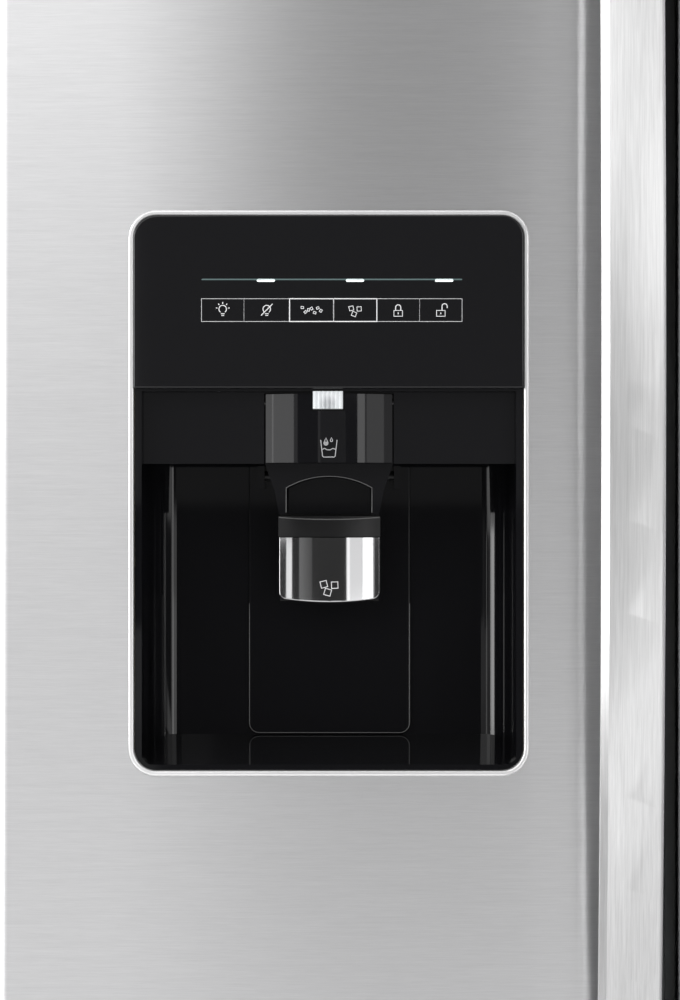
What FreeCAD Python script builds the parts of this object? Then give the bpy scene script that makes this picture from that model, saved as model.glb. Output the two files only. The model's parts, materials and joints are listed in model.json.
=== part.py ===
"""A side by side refrigerator with an ice and water dispenser in the freezer door.

Millimetres. The origin is on the floor, in the middle of the footprint. +Z is up, the doors face -Y
and +X is to the right of someone who stands in front of them.
"""
import FreeCAD, Part
import math
import os

Vector = FreeCAD.Vector

# ---------------------------------------------------------------- driving sizes

CABINET_WIDTH = 908.0
CABINET_TOP = 1730.0
CABINET_DEPTH = 715.0        # front flange to back panel
FREEZER_DOOR_WIDTH = 393.0
DOOR_GAP = 8.0               # between the two doors
DOOR_BOTTOM = 92.0
DOOR_THICKNESS = 62.0
GASKET_GAP = 13.0            # from the back of a closed door to the cabinet's front
HANDLE_REACH = 55.0          # how far the handles stand out from the doors
SIDE_WALL = 58.0             # insulated wall, outside to inside
SHEET = 1.2                  # folded steel
DOOR_SKIN = 1.0              # stainless steel over the doors
LINER = 2.0                  # moulded plastic inner walls
CLEAR = 0.5                  # usual space beside a piece that lifts out or moves
FIT = 0.05                   # radial clearance of a pin that turns in its hole

# ---------------------------------------------------------------- places worked out from them

OVERALL_DEPTH = HANDLE_REACH + DOOR_THICKNESS + GASKET_GAP + CABINET_DEPTH
BACK = OVERALL_DEPTH / 2
FLANGE = BACK - CABINET_DEPTH            # the cabinet's front plane
DOOR_BACK = FLANGE - GASKET_GAP
DOOR_FRONT = DOOR_BACK - DOOR_THICKNESS
LEFT = -CABINET_WIDTH / 2
RIGHT = CABINET_WIDTH / 2
FREEZER_EDGE = LEFT + FREEZER_DOOR_WIDTH
FRIDGE_EDGE = FREEZER_EDGE + DOOR_GAP
SEAM = (FREEZER_EDGE + FRIDGE_EDGE) / 2  # the line between the doors
DOOR_TOP = CABINET_TOP - 2.0

FLANGE_WIDTH = 30.0                      # steel turned in round the cabinet's front
RAIL_HALF = 30.0                         # half the width of the centre rail
RAIL_TOP = DOOR_BOTTOM + 38.0            # top of the bottom rail
SKIRT = 22.0                             # lower edge of the cabinet sides
FRAME_BOTTOM = 30.0                      # underside of the base frame
PLATE = 2.0                              # base frame plates

FREEZER_LEFT = LEFT + SIDE_WALL
FREEZER_RIGHT = SEAM - RAIL_HALF - LINER
FRIDGE_LEFT = SEAM + RAIL_HALF + LINER
FRIDGE_RIGHT = RIGHT - SIDE_WALL
FREEZER_MIDDLE = (FREEZER_LEFT + FREEZER_RIGHT) / 2
FLOOR = DOOR_BOTTOM + 50.0               # inside floor of both compartments
CEILING = CABINET_TOP - SIDE_WALL
REAR_WALL = BACK - 62.5
MACHINE_TOP = 300.0                      # the machine compartment, low down at the back
MACHINE_FRONT = BACK - 254.5
STEP_TOP = MACHINE_TOP + 60.0            # the liners step up over it
STEP_FRONT = MACHINE_FRONT - 58.0

PIN_INSET = 14.0                         # hinge pin from the door's outer side
PIN_DEPTH = 40.0                         # hinge pin behind the door's front
PIN_RADIUS = 5.0
PIN_Y = DOOR_FRONT + PIN_DEPTH
SHELF_FRONT = PIN_Y + 142.0              # shelves start here, clear of the swinging door bins
SHELF_BACK = REAR_WALL - 22.0
LEDGE_WIDTH = 10.0
LEDGE_HEIGHT = 8.0

PARTS = {}


# ---------------------------------------------------------------- helpers

def block(x, y, z):
    """A box between two limits on each axis."""
    corner = Vector(min(x), min(y), min(z))
    return Part.makeBox(abs(x[1] - x[0]), abs(y[1] - y[0]), abs(z[1] - z[0]), corner)


def rod(start, end, radius):
    """A round bar between two points."""
    start = Vector(*start)
    along = Vector(*end) - start
    return Part.makeCylinder(radius, along.Length, start, along)


def joined(shapes):
    """Touching or overlapping pieces made into one solid."""
    return shapes[0].multiFuse(shapes[1:]).removeSplitter()


def rounded(shape, radius, axis):
    """Round the straight edges that run along one axis."""
    chosen = []
    for edge in shape.Edges:
        if isinstance(edge.Curve, Part.Line) and abs(edge.Curve.Direction.dot(axis)) > 0.999:
            chosen.append(edge)
    return shape.makeFillet(radius, chosen)


def across_x(points, x):
    """A profile of (y, z) points, drawn out along X."""
    corners = [Vector(x[0], y, z) for y, z in points]
    face = Part.Face(Part.makePolygon(corners + corners[:1]))
    return face.extrude(Vector(x[1] - x[0], 0, 0))


def across_y(points, y):
    """A profile of (x, z) points, drawn out along Y."""
    corners = [Vector(x, y[0], z) for x, z in points]
    face = Part.Face(Part.makePolygon(corners + corners[:1]))
    return face.extrude(Vector(0, y[1] - y[0], 0))


def spread(low, high, count):
    """Evenly spaced values from low to high."""
    return [low + step * (high - low) / (count - 1) for step in range(count)]


def arc(start, middle, end):
    return Part.Arc(start, middle, end).toShape()


def line(start, end):
    return Part.makeLine(start, end)


def tray(x, y, z, wall, corner):
    """An open-topped box with rounded upright corners."""
    outside = rounded(block(x, y, z), corner, Vector(0, 0, 1))
    inside_x = (x[0] + wall, x[1] - wall)
    inside_y = (y[0] + wall, y[1] - wall)
    inside = rounded(block(inside_x, inside_y, (z[0] + wall, z[1] + wall)), corner - wall / 2,
                     Vector(0, 0, 1))
    return outside.cut(inside)


def mirrored(shape, x=0.0):
    """A copy on the other side of an upright plane."""
    return shape.mirror(Vector(x, 0, 0), Vector(1, 0, 0))


def keep(name, *shapes):
    """Note a finished piece, or a group of alike pieces, under its node name."""
    solids = []
    for shape in shapes:
        solids.extend(shape.Solids)
    PARTS[name] = solids[0] if len(solids) == 1 else Part.makeCompound(solids)
    return PARTS[name]


# ---------------------------------------------------------------- cabinet shell

INSIDE_LEFT = LEFT + SHEET
INSIDE_RIGHT = RIGHT - SHEET
MOUTH_LEFT = LEFT + FLANGE_WIDTH
MOUTH_RIGHT = RIGHT - FLANGE_WIDTH
BACK_SHEET = BACK - SHEET
HINGE_PLATE = 4.0
HEAD_RADIUS = 5.5
HEAD_HEIGHT = 3.5
SHANK_RADIUS = 2.5


def screw(seat, along, length):
    """A hexagon screw: its head stands on the seat and its shank runs the other way."""
    corners = []
    for corner in range(7):
        angle = corner * math.pi / 3
        corners.append(Vector(HEAD_RADIUS * math.cos(angle), HEAD_RADIUS * math.sin(angle), 0))
    head = Part.Face(Part.makePolygon(corners)).extrude(Vector(0, 0, HEAD_HEIGHT))
    shape = joined([head, rod((0, 0, -length), (0, 0, 0), SHANK_RADIUS)])
    shape.Placement = FreeCAD.Placement(Vector(*seat), FreeCAD.Rotation(Vector(0, 0, 1), Vector(*along)))
    return shape


def hinge_screws():
    """Three screws down through a top hinge, and two into the base for a bottom hinge."""
    screws = []
    for x, y in ((20.0, 16.0), (46.0, 36.0), (20.0, 56.0)):
        screws.append(screw((LEFT + x, FLANGE + y, CABINET_TOP + HINGE_PLATE), (0, 0, 1), 16.0))
    for x in (38.0, 50.0):
        screws.append(screw((LEFT + x, FLANGE - HINGE_PLATE, DOOR_BOTTOM - 24.0), (0, -1, 0), 12.0))
    return screws


LEFT_SCREWS = hinge_screws()
ALL_SCREWS = keep("hinge_screws", *LEFT_SCREWS, *[mirrored(shape) for shape in LEFT_SCREWS])


def compartment(x, grow):
    """The room inside one liner, made larger all round by grow."""
    room = block((x[0] - grow, x[1] + grow), (FLANGE - 5.0, REAR_WALL + grow), (FLOOR - grow, CEILING + grow))
    room = rounded(room, 18.0 + grow, Vector(0, 1, 0))
    step = block((x[0] - 10.0, x[1] + 10.0), (STEP_FRONT + grow, BACK), (0, STEP_TOP - grow))
    return room.cut(step)


def ledge_pair(x, top, y):
    """Two ledges for a shelf or a drawer, on facing walls."""
    height = (top - LEDGE_HEIGHT, top)
    return [block((x[0] - 1.0, x[0] + LEDGE_WIDTH), y, height),
            block((x[1] - LEDGE_WIDTH, x[1] + 1.0), y, height)]


def liner(x, flange_x, ledges):
    """A moulded inner box with its front flange and shelf ledges."""
    outside = compartment(x, LINER)
    front = block((x[0] - 60.0, x[1] + 60.0), (FLANGE - 10.0, FLANGE), (0, CABINET_TOP))
    flange = block(flange_x, (FLANGE, FLANGE + LINER), (RAIL_TOP, CABINET_TOP - FLANGE_WIDTH))
    shell = outside.cut(front).fuse(flange).cut(compartment(x, 0.0))
    return joined([shell] + ledges)


FREEZER_X = (FREEZER_LEFT, FREEZER_RIGHT)
FRIDGE_X = (FRIDGE_LEFT, FRIDGE_RIGHT)
SHORT_SHELF_BACK = STEP_FRONT - 2.0
BIN_BOTTOM = CEILING - 331.0             # ice bin
FREEZER_SHELF_TOPS = spread(STEP_TOP + 270.0, BIN_BOTTOM - 241.0, 3)
FRIDGE_SHELF_TOPS = spread(STEP_TOP + 202.0, CEILING - 332.0, 4)
SHELF_HEIGHT = 14.0                      # glass shelves
RIM_RADIUS = 3.5                         # wire shelves
WIRE_RADIUS = 1.6
WIRE_SHELF_HEIGHT = 2 * RIM_RADIUS + WIRE_RADIUS
TRAY_INSET = 20.0                        # drawers and baskets, from the side walls


def freezer_ledges():
    shelf_depth = (SHELF_FRONT, SHELF_BACK - 70.0)
    ledges = ledge_pair(FREEZER_X, STEP_TOP - WIRE_SHELF_HEIGHT, (SHELF_FRONT, SHORT_SHELF_BACK))
    for top in FREEZER_SHELF_TOPS:
        ledges += ledge_pair(FREEZER_X, top - WIRE_SHELF_HEIGHT, shelf_depth)
    ledges += ledge_pair(FREEZER_X, BIN_BOTTOM, shelf_depth)
    return ledges


def fridge_ledges():
    ledges = ledge_pair(FRIDGE_X, STEP_TOP - SHELF_HEIGHT, (SHELF_FRONT, SHORT_SHELF_BACK))
    for top in FRIDGE_SHELF_TOPS:
        ledges += ledge_pair(FRIDGE_X, top - SHELF_HEIGHT, (SHELF_FRONT, SHELF_BACK))
    return ledges


def wrapper():
    """Folded steel: two sides, the top and a flange turned in round the front."""
    outside = block((LEFT, RIGHT), (FLANGE, BACK_SHEET), (SKIRT, CABINET_TOP))
    inside = block((INSIDE_LEFT, INSIDE_RIGHT), (FLANGE + SHEET, BACK), (0, CABINET_TOP - SHEET))
    mouth = block((MOUTH_LEFT, MOUTH_RIGHT), (FLANGE - 1.0, FLANGE + 5.0), (0, CABINET_TOP - FLANGE_WIDTH))
    return outside.cut(inside).cut(mouth).cut(ALL_SCREWS)


def front_rails():
    """The centre rail, a shallow channel, welded to the bottom rail."""
    lip = 12.0
    centre = block((SEAM - RAIL_HALF, SEAM + RAIL_HALF), (FLANGE, FLANGE + lip),
                   (RAIL_TOP, CABINET_TOP - FLANGE_WIDTH))
    hollow = block((SEAM - RAIL_HALF + SHEET, SEAM + RAIL_HALF - SHEET), (FLANGE + SHEET, FLANGE + lip + 1.0),
                   (RAIL_TOP - 1.0, CABINET_TOP))
    bottom = block((MOUTH_LEFT, MOUTH_RIGHT), (FLANGE, FLANGE + SHEET), (DOOR_BOTTOM, RAIL_TOP))
    return joined([centre.cut(hollow), bottom])


FOOT_X = RIGHT - 30.0
FOOT_Y = FLANGE + 32.0
STUD_RADIUS = 5.0
ROLLER_RADIUS = 18.0
ROLLER_HALF = 9.0
ROLLER_Y = BACK - 44.0
ROLLER_X = RIGHT - 36.0
AXLE_RADIUS = 4.0


def base_frame():
    """Folded steel base: deck, machine compartment, side rails and the roller brackets."""
    deck = block((INSIDE_LEFT, INSIDE_RIGHT), (FLANGE + SHEET, MACHINE_FRONT),
                 (DOOR_BOTTOM - SHEET, DOOR_BOTTOM))
    riser = block((INSIDE_LEFT, INSIDE_RIGHT), (MACHINE_FRONT, MACHINE_FRONT + SHEET),
                  (FRAME_BOTTOM, MACHINE_TOP))
    roof = block((INSIDE_LEFT, INSIDE_RIGHT), (MACHINE_FRONT, BACK_SHEET), (MACHINE_TOP - SHEET, MACHINE_TOP))
    tray_floor = block((INSIDE_LEFT, INSIDE_RIGHT), (MACHINE_FRONT, BACK_SHEET),
                       (FRAME_BOTTOM, FRAME_BOTTOM + PLATE))
    apron = block((MOUTH_LEFT, MOUTH_RIGHT), (FLANGE, FLANGE + SHEET), (FRAME_BOTTOM, DOOR_BOTTOM))
    pieces = [deck, riser, roof, tray_floor, apron]
    for side in (-1, 1):
        edge = side * (RIGHT - SHEET)
        pieces.append(block((edge - side * PLATE, edge), (FLANGE + SHEET, BACK_SHEET),
                            (FRAME_BOTTOM, DOOR_BOTTOM)))
        pieces.append(block((edge - side * 52.0, edge), (FLANGE + SHEET, MACHINE_FRONT),
                            (FRAME_BOTTOM, FRAME_BOTTOM + PLATE)))
    frame = joined(pieces)
    brackets = []
    for side in (-1, 1):
        middle = side * ROLLER_X
        slot = block((middle - ROLLER_HALF - CLEAR, middle + ROLLER_HALF + CLEAR),
                     (ROLLER_Y - ROLLER_RADIUS - 2.0, ROLLER_Y + ROLLER_RADIUS + 2.0),
                     (0, FRAME_BOTTOM + 12.0))
        frame = frame.cut(slot)
        stud_hole = rod((side * FOOT_X, FOOT_Y, 0), (side * FOOT_X, FOOT_Y, DOOR_BOTTOM - 5.0),
                        STUD_RADIUS + FIT)
        frame = frame.cut(stud_hole)
        for cheek in (-1, 1):
            inner = middle + cheek * (ROLLER_HALF + CLEAR)
            brackets.append(block((inner, inner + cheek * 3.0), (ROLLER_Y - 12.0, ROLLER_Y + 12.0),
                                  (12.0, FRAME_BOTTOM)))
        brackets.append(rod((middle - ROLLER_HALF - 3.0, ROLLER_Y, ROLLER_RADIUS),
                            (middle + ROLLER_HALF + 3.0, ROLLER_Y, ROLLER_RADIUS), AXLE_RADIUS))
    return joined([frame] + brackets).cut(ALL_SCREWS)


def rollers():
    wheels = []
    for side in (-1, 1):
        start = (side * ROLLER_X - ROLLER_HALF, ROLLER_Y, ROLLER_RADIUS)
        end = (side * ROLLER_X + ROLLER_HALF, ROLLER_Y, ROLLER_RADIUS)
        wheels.append(rod(start, end, ROLLER_RADIUS).cut(rod(start, end, AXLE_RADIUS + FIT)))
    return wheels


def levelling_foot():
    """A threaded stud, shown plain, on a round foot; for the right-hand side."""
    pad = rod((FOOT_X, FOOT_Y, 0), (FOOT_X, FOOT_Y, 9.0), 17.0)
    pad = pad.makeChamfer(2.0, [edge for edge in pad.Edges if edge.BoundBox.ZMin > 8.0])
    nut = rod((FOOT_X, FOOT_Y, 9.0), (FOOT_X, FOOT_Y, 16.0), 10.0)
    stud = rod((FOOT_X, FOOT_Y, 9.0), (FOOT_X, FOOT_Y, DOOR_BOTTOM - 12.0), STUD_RADIUS)
    return joined([pad, nut, stud])


GRILLE_TOP = DOOR_BOTTOM - 8.0
GRILLE_BOTTOM = 12.0
GRILLE_FRONT = FLANGE - 30.0


def toe_grille():
    """A slotted plastic grille on four posts that clip to the base."""
    wall = 3.0
    outside = block((LEFT + 2.0, RIGHT - 2.0), (GRILLE_FRONT, GRILLE_FRONT + 20.0),
                    (GRILLE_BOTTOM, GRILLE_TOP))
    inside = block((LEFT + 2.0 + wall, RIGHT - 2.0 - wall), (GRILLE_FRONT + wall, GRILLE_FRONT + 30.0),
                   (GRILLE_BOTTOM - 1.0, GRILLE_TOP - wall))
    panel = outside.cut(inside)
    slots = []
    columns = 6
    pitch = (CABINET_WIDTH - 30.0) / columns
    for column in range(columns):
        start = LEFT + 15.0 + column * pitch + 10.0
        for row in range(4):
            z = GRILLE_BOTTOM + 13.0 + row * 13.0
            slots.append(block((start, start + pitch - 20.0), (GRILLE_FRONT - 1.0, GRILLE_FRONT + 5.0),
                               (z, z + 6.0)))
    panel = panel.cut(Part.makeCompound(slots))
    posts = []
    for column in (1, 2, 4, 5):
        x = LEFT + 15.0 + column * pitch
        posts.append(block((x - 5.0, x + 5.0), (GRILLE_FRONT + 1.0, FLANGE),
                           (GRILLE_BOTTOM + 30.0, GRILLE_TOP - 10.0)))
    return joined([panel] + posts)


GLAND_X = LEFT + 36.0
GLAND_Z = 110.0
GLAND_RADIUS = 11.0
GLAND_DEPTH = 14.0
LEAD_RADIUS = 4.5


def machine_cover():
    """The slotted lower back panel, with the sleeve that the mains lead comes out of."""
    panel = block((LEFT, RIGHT), (BACK_SHEET, BACK), (SKIRT, MACHINE_TOP))
    slots = []
    for column in range(30):
        x = LEFT + 70.0 + column * 26.0
        for z in (80.0, 150.0, 220.0):
            slots.append(block((x, x + 8.0), (BACK_SHEET - 1.0, BACK + 1.0), (z, z + 50.0)))
    inlet = rod((VALVE_X, BACK_SHEET - 1.0, VALVE_Z), (VALVE_X, BACK + 1.0, VALVE_Z), INLET_RADIUS + CLEAR)
    sleeve = rod((GLAND_X, BACK - GLAND_DEPTH, GLAND_Z), (GLAND_X, BACK, GLAND_Z), GLAND_RADIUS)
    lead_hole = rod((GLAND_X, BACK - GLAND_DEPTH - 1.0, GLAND_Z), (GLAND_X, BACK + 1.0, GLAND_Z), LEAD_RADIUS)
    return joined([panel.cut(Part.makeCompound(slots)).cut(inlet), sleeve]).cut(lead_hole)


VALVE_X = RIGHT - 34.0
VALVE_Z = 200.0
INLET_RADIUS = 9.0


def water_valve():
    """Solenoid valve on a bracket that stands on the base, with its inlet stub through the back panel."""
    body = block((VALVE_X - 14.0, VALVE_X + 14.0), (BACK - 70.0, BACK - 30.0),
                 (VALVE_Z - 14.0, VALVE_Z + 14.0))
    stub = rod((VALVE_X, BACK - 31.0, VALVE_Z), (VALVE_X, BACK, VALVE_Z), INLET_RADIUS)
    bore = rod((VALVE_X, BACK - 20.0, VALVE_Z), (VALVE_X, BACK + 1.0, VALVE_Z), INLET_RADIUS - 3.0)
    coil = rod((VALVE_X, BACK - 56.0, VALVE_Z + 13.0), (VALVE_X, BACK - 56.0, VALVE_Z + 45.0), 13.0)
    outlet = rod((VALVE_X - 13.0, BACK - 50.0, VALVE_Z), (VALVE_X - 40.0, BACK - 50.0, VALVE_Z), 4.0)
    bracket = block((INSIDE_RIGHT - PLATE - 3.0, INSIDE_RIGHT - PLATE), (BACK - 70.0, BACK - 30.0),
                    (DOOR_BOTTOM - 40.0, VALVE_Z + 10.0))
    arm = block((VALVE_X + 13.0, INSIDE_RIGHT - PLATE), (BACK - 60.0, BACK - 40.0),
                (VALVE_Z - 8.0, VALVE_Z + 8.0))
    return joined([body, stub, coil, outlet, bracket, arm]).cut(bore)


# ---------------------------------------------------------------- machine compartment

TRAY_TOP = FRAME_BOTTOM + PLATE
MACHINE_MIDDLE = (MACHINE_FRONT + BACK) / 2


def compressor():
    """A domed steel pot on a plate with four rubber-footed corners, and its three pipe stubs."""
    x = RIGHT - 220.0
    radius = 84.0
    pot_height = 170.0
    pot_bottom = TRAY_TOP + 20.0
    pot = rod((x, MACHINE_MIDDLE, pot_bottom), (x, MACHINE_MIDDLE, pot_bottom + pot_height), radius)
    pot = pot.makeFillet(38.0, [edge for edge in pot.Edges if isinstance(edge.Curve, Part.Circle)])
    plate = block((x - 110.0, x + 110.0), (MACHINE_MIDDLE - 70.0, MACHINE_MIDDLE + 70.0),
                  (TRAY_TOP + 16.0, TRAY_TOP + 24.0))
    pieces = [pot, rounded(plate, 18.0, Vector(0, 0, 1))]
    for dx in (-94.0, 94.0):
        for dy in (-54.0, 54.0):
            pieces.append(rod((x + dx, MACHINE_MIDDLE + dy, TRAY_TOP),
                              (x + dx, MACHINE_MIDDLE + dy, TRAY_TOP + 18.0), 11.0))
    for angle in (150.0, 180.0, 215.0):
        run = Vector(math.cos(math.radians(angle)), math.sin(math.radians(angle)), 0)
        start = Vector(x, MACHINE_MIDDLE, TRAY_TOP + 90.0) + run * (radius - 6.0)
        end = start + run * 32.0
        pieces.append(rod(tuple(start), tuple(end), 4.0))
    return joined(pieces)


def condenser():
    """A tube coil with fins, hung from the compartment roof by two end plates."""
    start = LEFT + 60.0
    end = LEFT + 250.0
    top = MACHINE_TOP - SHEET
    pieces = []
    for x in (start, end):
        pieces.append(block((x - 1.5, x + 1.5), (MACHINE_MIDDLE - 75.0, MACHINE_MIDDLE + 75.0), (90.0, top)))
    for row in range(4):
        for column in range(4):
            y = MACHINE_MIDDLE - 57.0 + column * 38.0
            z = 112.0 + row * 48.0
            pieces.append(rod((start, y, z), (end, y, z), 5.0))
    for fin in range(12):
        x = start + 14.0 + fin * 14.7
        pieces.append(block((x - 0.6, x + 0.6), (MACHINE_MIDDLE - 70.0, MACHINE_MIDDLE + 70.0),
                            (95.0, 275.0)))
    return joined(pieces)


def drain_pan():
    """The shallow tray under the condenser that melt water evaporates from."""
    return tray((LEFT + 56.0, LEFT + 290.0), (MACHINE_FRONT + 12.0, BACK - 14.0), (TRAY_TOP, 80.0), 2.5, 12.0)


FAN_X = LEFT + 330.0                     # condenser fan
FAN_Z = 170.0
SHAFT_RADIUS = 3.0
EVAPORATOR_FAN_Z = 1160.0
COVER_FRONT = REAR_WALL - 72.0
COVER_BACK = COVER_FRONT + 3.0


def fan(radius, hub_radius, width, blades):
    """A fan about the Z axis, centred at the origin."""
    hub = rod((0, 0, -width / 2), (0, 0, width / 2), hub_radius)
    pieces = [hub]
    for count in range(blades):
        blade = block((hub_radius - 2.0, radius), (-11.0, 11.0), (-0.9, 0.9))
        blade.rotate(Vector(0, 0, 0), Vector(1, 0, 0), 28.0)
        blade.rotate(Vector(0, 0, 0), Vector(0, 0, 1), count * 360.0 / blades)
        pieces.append(blade)
    wheel = joined(pieces)
    return wheel.cut(rod((0, 0, -width), (0, 0, width), SHAFT_RADIUS + FIT))


def condenser_fan():
    wheel = fan(66.0, 16.0, 18.0, 5)
    wheel.rotate(Vector(0, 0, 0), Vector(0, 1, 0), 90.0)
    wheel.translate(Vector(FAN_X, MACHINE_MIDDLE, FAN_Z))
    return wheel


def evaporator_fan():
    wheel = fan(50.0, 13.0, 16.0, 5)
    wheel.rotate(Vector(0, 0, 0), Vector(1, 0, 0), 90.0)
    wheel.translate(Vector(FREEZER_MIDDLE, COVER_BACK + 18.0, EVAPORATOR_FAN_Z))
    return wheel


AUGER_X = LEFT + FREEZER_DOOR_WIDTH / 2  # the ice comes out in line with the dispenser
AUGER_Z = BIN_BOTTOM + 37.0


def motors():
    """The condenser fan motor on its stand, the evaporator fan motor and the auger motor."""
    start = FAN_X + 14.0
    can = rod((start, MACHINE_MIDDLE, FAN_Z), (start + 40.0, MACHINE_MIDDLE, FAN_Z), 26.0)
    shaft = rod((FAN_X - 10.0, MACHINE_MIDDLE, FAN_Z), (start, MACHINE_MIDDLE, FAN_Z), SHAFT_RADIUS)
    stand = block((start + 12.0, start + 28.0), (MACHINE_MIDDLE - 20.0, MACHINE_MIDDLE + 20.0),
                  (TRAY_TOP, FAN_Z - 10.0))
    foot = block((start - 4.0, start + 44.0), (MACHINE_MIDDLE - 30.0, MACHINE_MIDDLE + 30.0),
                 (TRAY_TOP, TRAY_TOP + 3.0))
    condenser_motor = joined([can, shaft, stand, foot])
    can = rod((FREEZER_MIDDLE, REAR_WALL - 38.0, EVAPORATOR_FAN_Z),
              (FREEZER_MIDDLE, REAR_WALL, EVAPORATOR_FAN_Z), 24.0)
    shaft = rod((FREEZER_MIDDLE, COVER_BACK + 8.0, EVAPORATOR_FAN_Z),
                (FREEZER_MIDDLE, REAR_WALL, EVAPORATOR_FAN_Z),
                SHAFT_RADIUS)
    bar = block((FREEZER_MIDDLE - 60.0, FREEZER_MIDDLE + 60.0), (REAR_WALL - 8.0, REAR_WALL),
                (EVAPORATOR_FAN_Z - 10.0, EVAPORATOR_FAN_Z + 10.0))
    evaporator_motor = joined([can, shaft, bar])
    auger_motor = rounded(block((AUGER_X - 35.0, AUGER_X + 35.0),
                                (COVER_FRONT - AUGER_MOTOR_DEPTH, COVER_FRONT),
                                (AUGER_Z - 32.0, AUGER_Z + 40.0)), 8.0, Vector(0, 1, 0))
    socket = rod((AUGER_X, COVER_FRONT - AUGER_MOTOR_DEPTH - 1.0, AUGER_Z),
                 (AUGER_X, COVER_FRONT - 8.0, AUGER_Z),
                 AUGER_SHAFT + FIT)
    return condenser_motor, evaporator_motor, auger_motor.cut(socket)


AUGER_MOTOR_DEPTH = 30.0
AUGER_SHAFT = 5.0

# ---------------------------------------------------------------- freezer compartment


def evaporator():
    """Finned coil behind the rear panel, held by end plates that reach the liner."""
    start = FREEZER_LEFT + 18.0
    end = FREEZER_RIGHT - 18.0
    low = STEP_TOP + 50.0
    rows = 11
    row_height = 40.0
    high = low + rows * row_height
    middle = (COVER_BACK + REAR_WALL) / 2
    pieces = []
    for x in (start, end):
        pieces.append(block((x - 1.0, x + 1.0), (COVER_BACK + 6.0, REAR_WALL), (low, high)))
    for row in range(rows):
        for dy in (-14.0, 14.0):
            z = low + (row + 0.5) * row_height
            pieces.append(rod((start, middle + dy, z), (end, middle + dy, z), 4.0))
    for fin in range(16):
        x = start + 15.0 + fin * (end - start - 30.0) / 15
        pieces.append(block((x - 0.5, x + 0.5), (middle - 24.0, middle + 24.0), (low + 6.0, high - 6.0)))
    return joined(pieces)


def evaporator_cover():
    """Rear panel of the freezer, with air slots low down and a grille in front of the fan."""
    panel = block((FREEZER_LEFT, FREEZER_RIGHT), (COVER_FRONT, COVER_BACK), (STEP_TOP, CEILING - 20.0))
    cuts = []
    for column in range(12):
        x = FREEZER_LEFT + 30.0 + column * 21.0
        cuts.append(block((x, x + 9.0), (COVER_FRONT - 1.0, COVER_BACK + 1.0),
                          (STEP_TOP + 12.0, STEP_TOP + 50.0)))
    for row in range(7):
        z = EVAPORATOR_FAN_Z - 45.0 + row * 14.0
        half = math.sqrt(52.0 ** 2 - (z + 3.0 - EVAPORATOR_FAN_Z) ** 2)
        cuts.append(block((FREEZER_MIDDLE - half, FREEZER_MIDDLE + half),
                          (COVER_FRONT - 1.0, COVER_BACK + 1.0), (z, z + 6.0)))
    return panel.cut(Part.makeCompound(cuts))


RACK_BACK = COVER_FRONT - 6.0


def wire_shelf(back):
    """A rim of round wire with thinner wires front to back on it, with its top at zero height."""
    overhang = RIM_RADIUS + 1.5
    left = FREEZER_LEFT + overhang + CLEAR
    right = FREEZER_RIGHT - overhang - CLEAR
    front = SHELF_FRONT + RIM_RADIUS
    rear = back - RIM_RADIUS
    z = RIM_RADIUS - WIRE_SHELF_HEIGHT
    pieces = [rod((left - overhang, front, z), (right + overhang, front, z), RIM_RADIUS),
              rod((left - overhang, rear, z), (right + overhang, rear, z), RIM_RADIUS),
              rod((left, front, z), (left, rear, z), RIM_RADIUS),
              rod((right, front, z), (right, rear, z), RIM_RADIUS)]
    count = 15
    for wire in range(count):
        x = left + (wire + 1) * (right - left) / (count + 1)
        pieces.append(rod((x, front - 2.0, z + RIM_RADIUS), (x, rear + 2.0, z + RIM_RADIUS), WIRE_RADIUS))
    return joined(pieces)


def basket(y, z):
    """A pull-out freezer basket with slotted sides."""
    x = (FREEZER_LEFT + TRAY_INSET, FREEZER_RIGHT - TRAY_INSET)
    shape = tray(x, y, z, 2.5, 16.0)
    slots = []
    low = z[0] + 22.0
    high = z[1] - 22.0
    across = int((x[1] - x[0] - 60.0) / 22.0)
    for column in range(across):
        left = x[0] + 34.0 + column * 22.0
        slots.append(block((left, left + 12.0), (y[0] - 5.0, y[1] + 5.0), (low, high)))
    deep = int((y[1] - y[0] - 60.0) / 22.0)
    for column in range(deep):
        front = y[0] + 34.0 + column * 22.0
        slots.append(block((x[0] - 5.0, x[1] + 5.0), (front, front + 12.0), (low, high)))
    return shape.cut(Part.makeCompound(slots))


def freezer_racks():
    """Wire shelves and the two baskets at the bottom."""
    shelf = wire_shelf(RACK_BACK)
    racks = [shelf.translated(Vector(0, 0, top)) for top in FREEZER_SHELF_TOPS]
    racks.append(wire_shelf(SHORT_SHELF_BACK).translated(Vector(0, 0, STEP_TOP)))
    racks.append(basket((SHELF_FRONT, SHORT_SHELF_BACK), (FLOOR, STEP_TOP - 38.0)))
    racks.append(basket((SHELF_FRONT, RACK_BACK), (STEP_TOP, STEP_TOP + 170.0)))
    return racks


BIN_BACK = COVER_FRONT - AUGER_MOTOR_DEPTH
BIN_TOP = BIN_BOTTOM + 150.0
BIN_WALL = 3.0
NOSE_FRONT = FLANGE + 30.0
NOSE_HALF = 34.0
FLIGHT_RADIUS = 24.0


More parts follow.
